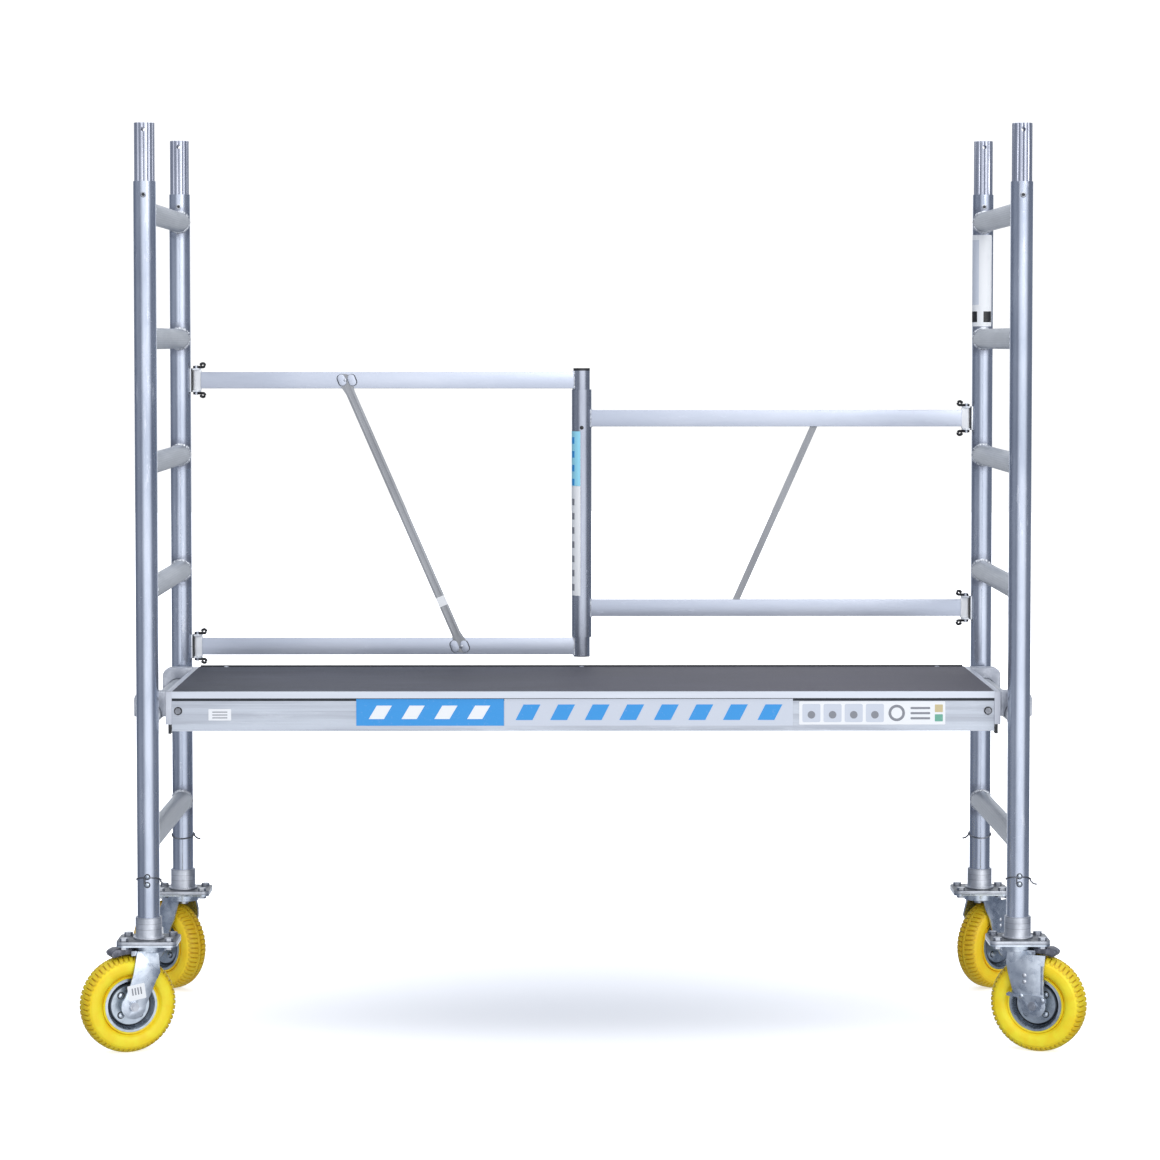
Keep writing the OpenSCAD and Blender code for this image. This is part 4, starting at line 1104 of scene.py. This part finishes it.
def channel_mesh(top, foot, back, pad):
    """The pressed channel between two rivets, with round flat ends of the radius pad."""
    channel_half, ridge_at, ridge_wide, flat, flare_by = 0.011, 0.0062, 0.0022, 0.012, 0.022
    run = (foot - top).normalized()
    side = Vector((-run.z, 0, run.x))
    length = (foot - top).length
    closing = [pad * 0.5 * (1 - math.cos(math.pi * i / 12)) for i in range(13)]
    ends = [0.012, 0.022, 0.034, 0.048]
    stations = [c - pad for c in closing] + ends + [length - e for e in reversed(ends)]
    stations += [length + c for c in closing]
    stations = sorted(set(round(s, 6) for s in stations))
    across, points, faces = 24, [], []
    for s in stations:
        past = max(-s, s - length, 0.0)
        inner = min(s, length - s)
        flare = max(0.0, min(1.0, (flat + flare_by - inner) / flare_by))
        half = channel_half + (pad - channel_half) * flare
        if past > 0:
            half = math.sqrt(max(pad * pad - past * past, 1e-9))
        ridge = 0.0005 * max(0.0, min(1.0, (inner - flat) / flare_by))
        spine = top + run * s
        for j in range(across + 1):
            w = half * (2 * j / across - 1)
            swell = sum(math.exp(-((w + at) / ridge_wide) ** 2) for at in (-ridge_at, ridge_at))
            p = spine + side * w
            points.append((p.x, back - 0.0024 - ridge * swell, p.z))
        for j in range(across, -1, -1):
            p = spine + side * half * (2 * j / across - 1)
            points.append((p.x, back - 0.0001, p.z))
    n = 2 * (across + 1)
    for i in range(len(stations) - 1):
        a, b = i * n, (i + 1) * n
        faces += [(a + j, a + (j + 1) % n, b + (j + 1) % n, b + j) for j in range(n)]
    return mesh_of(points, faces, angle=45)


def make_left_brace():
    """Pressed channel brace: two ridges along it, with flat flared ends that wrap the rails."""
    low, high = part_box("left_brace")
    back, pad, part = high.y, 0.015, "guard_left"
    top = Vector((low.x + pad, 0, high.z - pad))
    foot = Vector((high.x - pad, 0, low.z + pad))
    run = foot - top
    dome = lathe([(ON_AXIS, 0.0046), (0.003, 0.0042), (0.0055, 0.0024), (0.0062, 0.0), (ON_AXIS, 0.0)], 20)
    dome.flip_normals()
    dome.transform(TURNED_OVER)
    rivets = joined([moved(dome, shifted((p.x, back - 0.0002, p.z))) for p in (top, foot)])
    face_outward(rivets)
    lobe = prism(rounded(0.0185, 0.0285, 0.0088, 5), 0.0042)
    lobe = evaluated(lobe, ("BEVEL", bevel(0.0016, 3, 40)))
    # painted shadow: a black plate a little larger than each crimp, showing as a dark rim round it
    shade = prism(rounded(0.0225, 0.0300, 0.0100, 5), 0.0006)
    lobes, shades = [], []
    for p, away in ((top, 1), (foot, -1)):
        for across in (-0.0072, 0.0168):
            at = shifted((p.x + away * across, back, p.z)) @ TO_FRONT
            at = at @ Matrix.Rotation(math.radians(21), 4, "Z")
            lobes.append(moved(lobe, at))
            shades.append(moved(shade, at))
    # a small white patch on the brace, towards its foot
    spot = top + run * 0.83
    slant = Matrix.Rotation(math.atan2(-run.x, -run.z), 4, "Y")
    white_patch_at = shifted((spot.x, back - 0.0030, spot.z)) @ slant @ TO_FRONT
    white_patch = prism(rounded(0.0215, 0.024, 0.001), STICKER_THICK, white_patch_at)
    finish_piece("left_brace_white_patch", white_patch, part, FOIL_WHITE)
    finish_piece("left_brace_crimps", joined(lobes), part, RAIL)
    finish_piece("left_brace_crimp_shadows", joined(shades), part, BLACK)
    finish_piece("left_brace_channel", channel_mesh(top, foot, back, pad), part, BRACE,
                 ["left_brace"])
    finish_piece("left_brace_rivets", rivets, part, BOLT)


def make_hinges():
    """Hinge brackets on the ladders, and the white blocks that turn in them with the guard."""
    saddle = saddle_zinc("hinge_saddle_zinc", SADDLE_GAP_SHADOW_X)
    block = hinge_nylon("hinge_block_nylon", BLOCK_GAP_SHADOW_X)
    for side in ("left", "right"):
        finish_piece(side + "_hinge_saddles", softened(side + "_hinge_brackets", 0.0008), "frame", saddle,
                     [side + "_hinge_brackets"])
    for side in ("left", "right"):
        finish_piece(side + "_hinge_blocks", softened(side + "_knuckles", 0.0012), "guard_" + side, block,
                     [side + "_knuckles"])


def make_hinge_clips():
    """Black hairpins through the hinge pins: a straight leg, an upright ring at its end, and a ball."""
    turns = [math.radians(a) for a in range(0, 241, 20)]
    ring = [(0.0160 + 0.0048 * math.sin(a), 0.0046 - 0.0046 * math.cos(a)) for a in turns]
    path = [(-0.0075, 0.0), (0.0, 0.0), (0.008, 0.0)] + ring
    ball = lathe([(ON_AXIS, -0.0038), (0.0027, -0.0028), (0.0038, 0.0), (0.0027, 0.0028),
                  (ON_AXIS, 0.0038)], 16)
    for side, sign, holder in (("left", 1, "frame"), ("right", -1, "guard_right")):
        pins = centre_of(side + "_hinge_pins")
        pin_x, pin_y = pins.x, pins.y
        clips_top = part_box(side + "_hinge_clips")[1].z
        pieces = []
        for rail in ("_top_rail", "_bottom_rail"):
            z = centre_of(side + rail).z
            for up in (-1, 1):
                level = z + up * (clips_top - 0.001 - centre_of(side + "_top_rail").z)
                line = [(pin_x + sign * x, pin_y, level + up * rise) for x, rise in path]
                pieces.append(wire(line, 0.0032))
                pieces.append(moved(ball, shifted((pin_x + sign * 0.0118, pin_y, level + up * 0.0069))))
        finish_piece(side + "_hairpins", joined(pieces), holder, SPRING,
                     [side + "_hinge_clips"])


make_rails()
make_rail_welds()
make_hinge_clips()
make_left_brace()
make_hinges()


# ---------------------------------------------------------------- casters


# The tyre's section: half its width, half its height, the radius of its middle, and how square it is
SECTION = HALF_W, HALF_R, MIDDLE, POWER = 0.0318, 0.0214, 0.0832, 2.5
TYRE_R = 0.108


def carcass_outline(steps):
    """A round-cornered section with two thin moulding rings on each sidewall."""
    half_w, half_r, middle, power = SECTION
    out = []
    for i in range(steps):
        a = 2 * math.pi * i / steps
        c, s = math.cos(a), math.sin(a)
        w = math.copysign(abs(c) ** (2 / power), c) * half_w
        r = middle + math.copysign(abs(s) ** (2 / power), s) * half_r
        ring = sum(math.exp(-(((r - at) / 0.0011) ** 2)) for at in (middle - 0.012, middle + 0.009))
        if abs(w) > half_w * 0.7:
            w += math.copysign(0.0007 * ring, w)
        out.append((r, w))
    return out


def surface_at(turn):
    c, s = math.cos(turn), math.sin(turn)
    return abs(s) ** (2 / POWER) * HALF_R + MIDDLE, math.copysign(abs(c) ** (2 / POWER), c) * HALF_W


def tread_block(side, shift, pitch):
    """One bar of the tread, from low on the sidewall over the shoulder to the middle rib."""
    turns = [math.radians(v) for v in (33, 39, 46, 53, 61, 70, 78, 84)]
    points, faces = [], []
    for k, t in enumerate(turns):
        share = k / (len(turns) - 1)
        r, w = surface_at(t)
        lift = (TYRE_R - HALF_R - MIDDLE) * (0.30 + 0.70 * min(1.0, share * 1.7))
        lean = shift + pitch * 0.30 * share
        half = pitch * (0.30 + 0.10 * min(1.0, share * 1.5))
        nr, nw = math.sin(t), math.cos(t)
        for height, narrow in ((-0.0012, 1.0), (lift * 0.75, 0.97), (lift, 0.84)):
            rr, ww = r + nr * height, w + nw * height
            rr = min(rr, TYRE_R - 0.0001)
            for end in (-1, 1):
                a = lean + end * half * narrow
                points.append((rr * math.cos(a), side * ww, rr * math.sin(a)))
    for k in range(len(turns) - 1):
        a, b = k * 6, (k + 1) * 6
        ring = (0, 2, 4, 5, 3, 1)
        faces += [(a + ring[i], a + ring[i + 1], b + ring[i + 1], b + ring[i]) for i in range(5)]
        faces.append((a + 1, a, b, b + 1))
    last = (len(turns) - 1) * 6
    faces += [(0, 1, 3, 5, 4, 2), tuple(last + i for i in (2, 4, 5, 3, 1, 0))]
    return mesh_of(points, faces, angle=28)


def make_tyre():
    """The tyre's carcass and its tread, about the local Y axis."""
    around, count = 144, 56
    carcass = lathe(carcass_outline(88), around)
    seat = lathe([(0.0572, -0.0235), (0.0572, 0.0235), (0.064, 0.026), (0.066, 0.0), (0.064, -0.026)], around)
    half_rib = [(TYRE_R - 0.006, -0.0042), (TYRE_R - 0.0012, -0.0038), (TYRE_R - 0.0004, -0.0028)]
    rib = lathe(half_rib + [(r, -w) for r, w in reversed(half_rib)], around)
    pitch = 2 * math.pi / count
    pair = joined([tread_block(1, 0.0, pitch), tread_block(-1, pitch / 2, pitch)])
    tread = IN_A_ROW.make(pair, FOIL_BLACK, Size=1.0, Count=count, Turn=(0.0, -pitch, 0.0))
    return joined([carcass, seat]), joined([tread, rib])


def rim_flare():
    """Both cones of the rim, from the edge of the dark well out to its lips."""
    outline = [(0.0490, 0.0120), (0.0515, 0.0150), (0.0538, 0.0200), (0.0544, 0.0236), (0.0536, 0.0238),
               (0.0528, 0.0204), (0.0504, 0.0156), (0.0482, 0.0130)]
    return joined([lathe([(r, side * w) for r, w in outline], 96) for side in (-1, 1)])


def rim_nuts():
    """The four domed nuts on each side of a rim, each on a dark seat."""
    disc_half, circle_r = 0.0181, 0.031
    slant = circle_r * math.cos(math.radians(45))
    nut = lathe([(ON_AXIS, 0.0062), (0.0028, 0.0059), (0.0051, 0.0052), (0.0061, 0.0034), (0.0063, 0.0),
                 (ON_AXIS, 0.0)], 16)
    seat = lathe([(0.0060, 0.0), (0.0082, 0.0), (0.0082, 0.0006), (0.0060, 0.0010)], 16)
    made = []
    for shape, finish in ((nut, ZINC), (seat, BLACK)):
        sides = [moved(shape, shifted((slant, side * disc_half, slant)) @ mirrored(side)) for side in (-1, 1)]
        row = IN_A_ROW.make(joined(sides), finish, Size=1.0, Count=4, Turn=(0.0, -math.pi / 2, 0.0))
        round_off(row, 30)
        made.append(row)
    return made


def caster_frame(corner):
    """Where a caster's swivel axis and its trail direction are, as a matrix at floor level."""
    pivot = JOINTS[corner + "_swivel_turn"]["pos_m"]
    axle = JOINTS[corner + "_wheel_spin"]["axis"]
    turn = math.atan2(-axle[0], axle[1])
    return shifted((pivot[0], pivot[1], 0)) @ Matrix.Rotation(turn, 4, "Z")


def make_pedal(corner, place):
    """Foot pedal: a curved plate over the tyre with a rolled edge, grip ribs and its brake shoe."""
    pin = JOINTS[corner + "_brake_press"]["pos_m"]
    pin_x = (place.inverted() @ Vector(pin)).x
    hub = JOINTS[corner + "_wheel_spin"]["pos_m"]
    top, wheel_r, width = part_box(corner + "_brake_pedal")[1].z, hub[2], 0.043
    trail = (place.inverted() @ Vector(hub)).x
    shoe_r = wheel_r + 0.0053
    upper = [(pin_x + 0.0015, top - 0.001), (pin_x + 0.035, top - 0.0006), (pin_x + 0.0415, top - 0.0035),
             (pin_x + 0.0465, top - 0.0062), (pin_x + 0.0495, top - 0.011), (pin_x + 0.047, top - 0.0165)]
    lower = []
    for i in range(9):
        x = pin_x + 0.0445 - i * (0.043 / 8)
        lower.append((x, wheel_r + math.sqrt(max(shoe_r ** 2 - (x - trail) ** 2, 0.0)) + 0.0002))
    lowest = top - 0.0195
    outline = upper + [p for p in lower if p[1] > lowest]
    body = prism(outline, width, shifted((0, width / 2, 0)) @ TO_FRONT)
    body = evaluated(body, ("BEVEL", bevel(0.0014, 2, 35)))
    bore, outer, half = 0.0031, 0.0049, 0.0228
    barrel = lathe([(bore, -half), (outer, -half), (outer, half), (bore, half)], 32)
    barrel.transform(shifted((pin_x, 0, pin[2])))
    first_rib = shifted((pin_x + 0.010, 0, top - 0.0012))
    rib = prism(rounded(0.0022, width - 0.012, 0.001, 3), 0.0006, first_rib)
    ribs = IN_A_ROW.make(rib, PEDAL, Size=1.0, Count=5, Step=(0.005, 0, 0.00004))
    mesh = joined([body, barrel, ribs])
    mesh.transform(place)
    finish_piece(corner + "_pedal", mesh, corner + "_brake", PEDAL, [corner + "_brake_pedal"])


def make_casters():
    carcass, tread = make_tyre()
    flare = rim_flare()
    nuts, seats = rim_nuts()
    fold = prism([(0.0185, 0.0), (0.0245, 0.0), (0.0245, -0.0036), (0.0235, -0.0046), (0.0195, -0.0046),
                  (0.0185, -0.0036)], 0.064)
    rivet = lathe([(ON_AXIS, 0.0), (0.0052, 0.0), (0.0052, 0.0008), (0.0038, 0.0024), (0.0018, 0.0032),
                   (ON_AXIS, 0.0034)], 20)
    leg, trail = 0.044, 0.050
    for corner in CORNERS:
        place = caster_frame(corner)
        hub = JOINTS[corner + "_wheel_spin"]
        centre, axle = tuple(hub["pos_m"]), tuple(hub["axis"])
        hub_z = centre[2]
        wheel = shifted(centre) @ place.to_3x3().to_4x4()
        # painted shade: the rear tyres are given a deeper orange
        painted_rear_shade = 0.35 if "rear" in corner else 0.0
        smooth_yellow = tyre_yellow(corner + "_sidewall_yellow", centre, axle, 0.0965, 0.75, painted_rear_shade)
        tread_yellow = tyre_yellow(corner + "_tread_yellow", centre, axle, 0.0925, 0.35, painted_rear_shade)
        wheel_body, swivel_body = corner + "_wheel", corner + "_swivel"
        finish_piece(corner + "_tyre_carcass", moved(carcass, wheel), wheel_body, smooth_yellow,
                     [corner + "_tyre"])
        for name, mesh, finish, slot in (("_tyre_tread", tread, tread_yellow, "yellow_tyre"),
                                         ("_rim_flare", flare, ZINC, "zinc_steel"),
                                         ("_rim_nuts", nuts, ZINC, "bolt_steel"),
                                         ("_rim_nut_seats", seats, BLACK, None)):
            finish_piece(corner + name, moved(mesh, wheel), wheel_body, finish)
        paint(wheel_zinc(corner + "_wheel_zinc", centre, axle, 0.0435, 0.0555), corner + "_rim")
        paint(BOLT, corner + "_caster_pins")
        finish_piece(corner + "_fork_plates", softened(corner + "_fork", 0.0010), swivel_body, FORK,
                     [corner + "_fork"])
        make_pedal(corner, place)
        heads = [moved(rivet, place @ shifted((0.030, -leg + 0.0002, z)) @ TURNED_OVER)
                 for z in (0.160, 0.174)]
        finish_piece(corner + "_shield_rivets", joined(heads), swivel_body, BOLT)
        edge = moved(fold, place @ shifted((trail, -leg + 0.0003, hub_z + 0.026)))
        arm = prism([(-0.061, 0.024), (-0.060, 0.019), (-0.030, 0.017), (-0.012, 0.006), (0.004, -0.013),
                     (0.017, -0.010), (0.021, 0.004), (0.030, 0.009), (0.030, 0.018), (0.014, 0.022),
                     (-0.010, 0.025), (-0.035, 0.023), (-0.055, 0.028)], 0.0032)
        flat = place @ shifted((trail, -leg - 0.0001, hub_z)) @ TO_FRONT
        studs = [moved(rivet, place @ shifted((trail + x, -leg - 0.003, hub_z + z)) @ TURNED_OVER)
                 for x, z in ((-0.026, 0.0205), (0.0225, 0.0135))]
        finish_piece(corner + "_brake_lever", joined([edge, moved(arm, flat)] + studs), swivel_body, FORK)
        lean = place @ shifted((0.043, leg + 0.0001, 0.140)) @ Matrix.Rotation(math.radians(8), 4, "Y")
        sheet = prism(rounded(0.040, 0.034, 0.002), STICKER_THICK, lean @ TO_REAR)
        finish_piece(corner + "_fork_sticker", sheet, swivel_body, FOIL_WHITE)
        first_bar = lean @ shifted((-0.010, STICKER_THICK, 0.002)) @ TO_REAR
        bar = prism(rounded(0.0030, 0.016, 0.0006), PRINT_THICK, first_bar)
        step = lean.to_3x3() @ Vector((0.0065, 0, 0))
        row_of(corner + "_fork_sticker_bars", bar, 4, tuple(step), FOIL_GREY, swivel_body)


def make_sockets():
    finish_piece("turned_sockets", softened("caster_sockets", 0.0010), "frame", TURNED,
                 ["caster_sockets"])


make_casters()
make_sockets()


# ---------------------------------------------------------------- studio


def make_floor():
    """White floor with a soft shadow near the scaffold that fades out into plain white."""
    f = Finish("studio_floor", Roughness=0.85, Specular_IOR_Level=0.1, Emission_Strength=1.0)
    here = f.place()
    x, y, _ = f.axes(here)
    away = ((x / 1.6) ** 2.0 + ((y - 0.35) / 1.75) ** 2.0) ** 0.5
    f.set("Base Color", f.mix(f.noise(here, 0.6, 2.0), (0.92, 0.925, 0.94), (0.95, 0.952, 0.96)))
    f.set("Emission Color", f.mix(away.ramp(0.0, 1.35), (0.185, 0.198, 0.228), (1.0, 1.0, 1.0)))
    sides, reach = 96, 24
    turns = [2 * math.pi * i / sides for i in range(sides)]
    rim = [(reach * math.cos(a), reach * math.sin(a), 0) for a in turns]
    mesh = mesh_of(rim, [tuple(range(sides))], smooth=False)
    mesh.materials.append(f.material)
    floor = bpy.data.objects.new("studio_floor", mesh)
    bpy.context.scene.collection.objects.link(floor)
    floor.visible_diffuse = False
    floor.visible_glossy = False


def make_sky():
    """Soft white studio with a brighter panel at the front right and darker sides to model the tubes."""
    world = bpy.data.worlds.new("studio")
    bpy.context.scene.world = world
    world.use_nodes = True
    s = Shader(world.node_tree)
    background = next(n for n in s.tree.nodes if n.type == "BACKGROUND")
    way = s.node("ShaderNodeTexCoord", None, None, "Generated")

    def towards(direction, tight_low, tight_high):
        d = Vector(direction).normalized()
        near = s.node("ShaderNodeVectorMath", {"operation": "DOT_PRODUCT"}, {0: way, 1: tuple(d)}, "Value")
        return near.ramp(tight_low, tight_high)

    panel = towards((0.22, -0.97, 0.05), 0.52, 0.99)
    side = towards((-0.95, -0.30, 0.1), 0.80, 1.0)
    behind = towards((0.0, 1.0, 0.0), 0.74, 0.99)
    above = towards((0.0, -0.2, 1.0), 0.30, 0.95)
    below = towards((0.0, -0.1, -1.0), 0.10, 0.95)
    colour = s.mix(panel, (0.185, 0.215, 0.28), (1.50, 1.54, 1.62))
    colour = s.mix(side * 0.3, colour, (0.8, 0.84, 0.92))
    colour = s.mix(behind, colour, (1.10, 1.14, 1.20))
    colour = s.mix(above, colour, (1.05, 1.08, 1.14))
    colour = s.mix(below, colour, (0.40, 0.42, 0.46))
    seen = s.node("ShaderNodeLightPath", None, None, "Is Camera Ray")
    s.tree.links.new(s.mix(seen, colour, (1.1, 1.1, 1.1)).socket, background.inputs["Color"])
    background.inputs["Strength"].default_value = 1.0


def soft_light(name, where, aim, size, power, colour=(1, 1, 1)):
    data = bpy.data.lights.new(name, "AREA")
    data.shape, data.size, data.size_y = "RECTANGLE", size[0], size[1]
    data.energy, data.color = power, colour
    lamp = bpy.data.objects.new(name, data)
    lamp.location = where
    lamp.rotation_euler = (Vector(aim) - Vector(where)).to_track_quat("-Z", "Y").to_euler()
    bpy.context.scene.collection.objects.link(lamp)


def make_camera():
    data = bpy.data.cameras.new("camera")
    data.lens, data.sensor_width = 106.7, 36.0
    data.shift_y = -0.069
    data.clip_end = 200
    camera = bpy.data.objects.new("camera", data)
    camera.location = (-0.049, -7.975, 1.582)
    camera.rotation_euler = (math.radians(90 - 2.65), 0.0, math.radians(-0.31))
    bpy.context.scene.collection.objects.link(camera)
    bpy.context.scene.camera = camera


make_floor()
make_sky()
soft_light("key_panel", (2.6, -5.0, 3.6), (0, 0, 1.0), (2.4, 2.4), 64, (1.0, 0.99, 0.97))
soft_light("top_panel", (0.0, 0.2, 5.2), (0, 0, 0), (5.0, 4.0), 70, (0.98, 0.99, 1.0))
make_camera()
bpy.context.scene.view_settings.view_transform = "Standard"
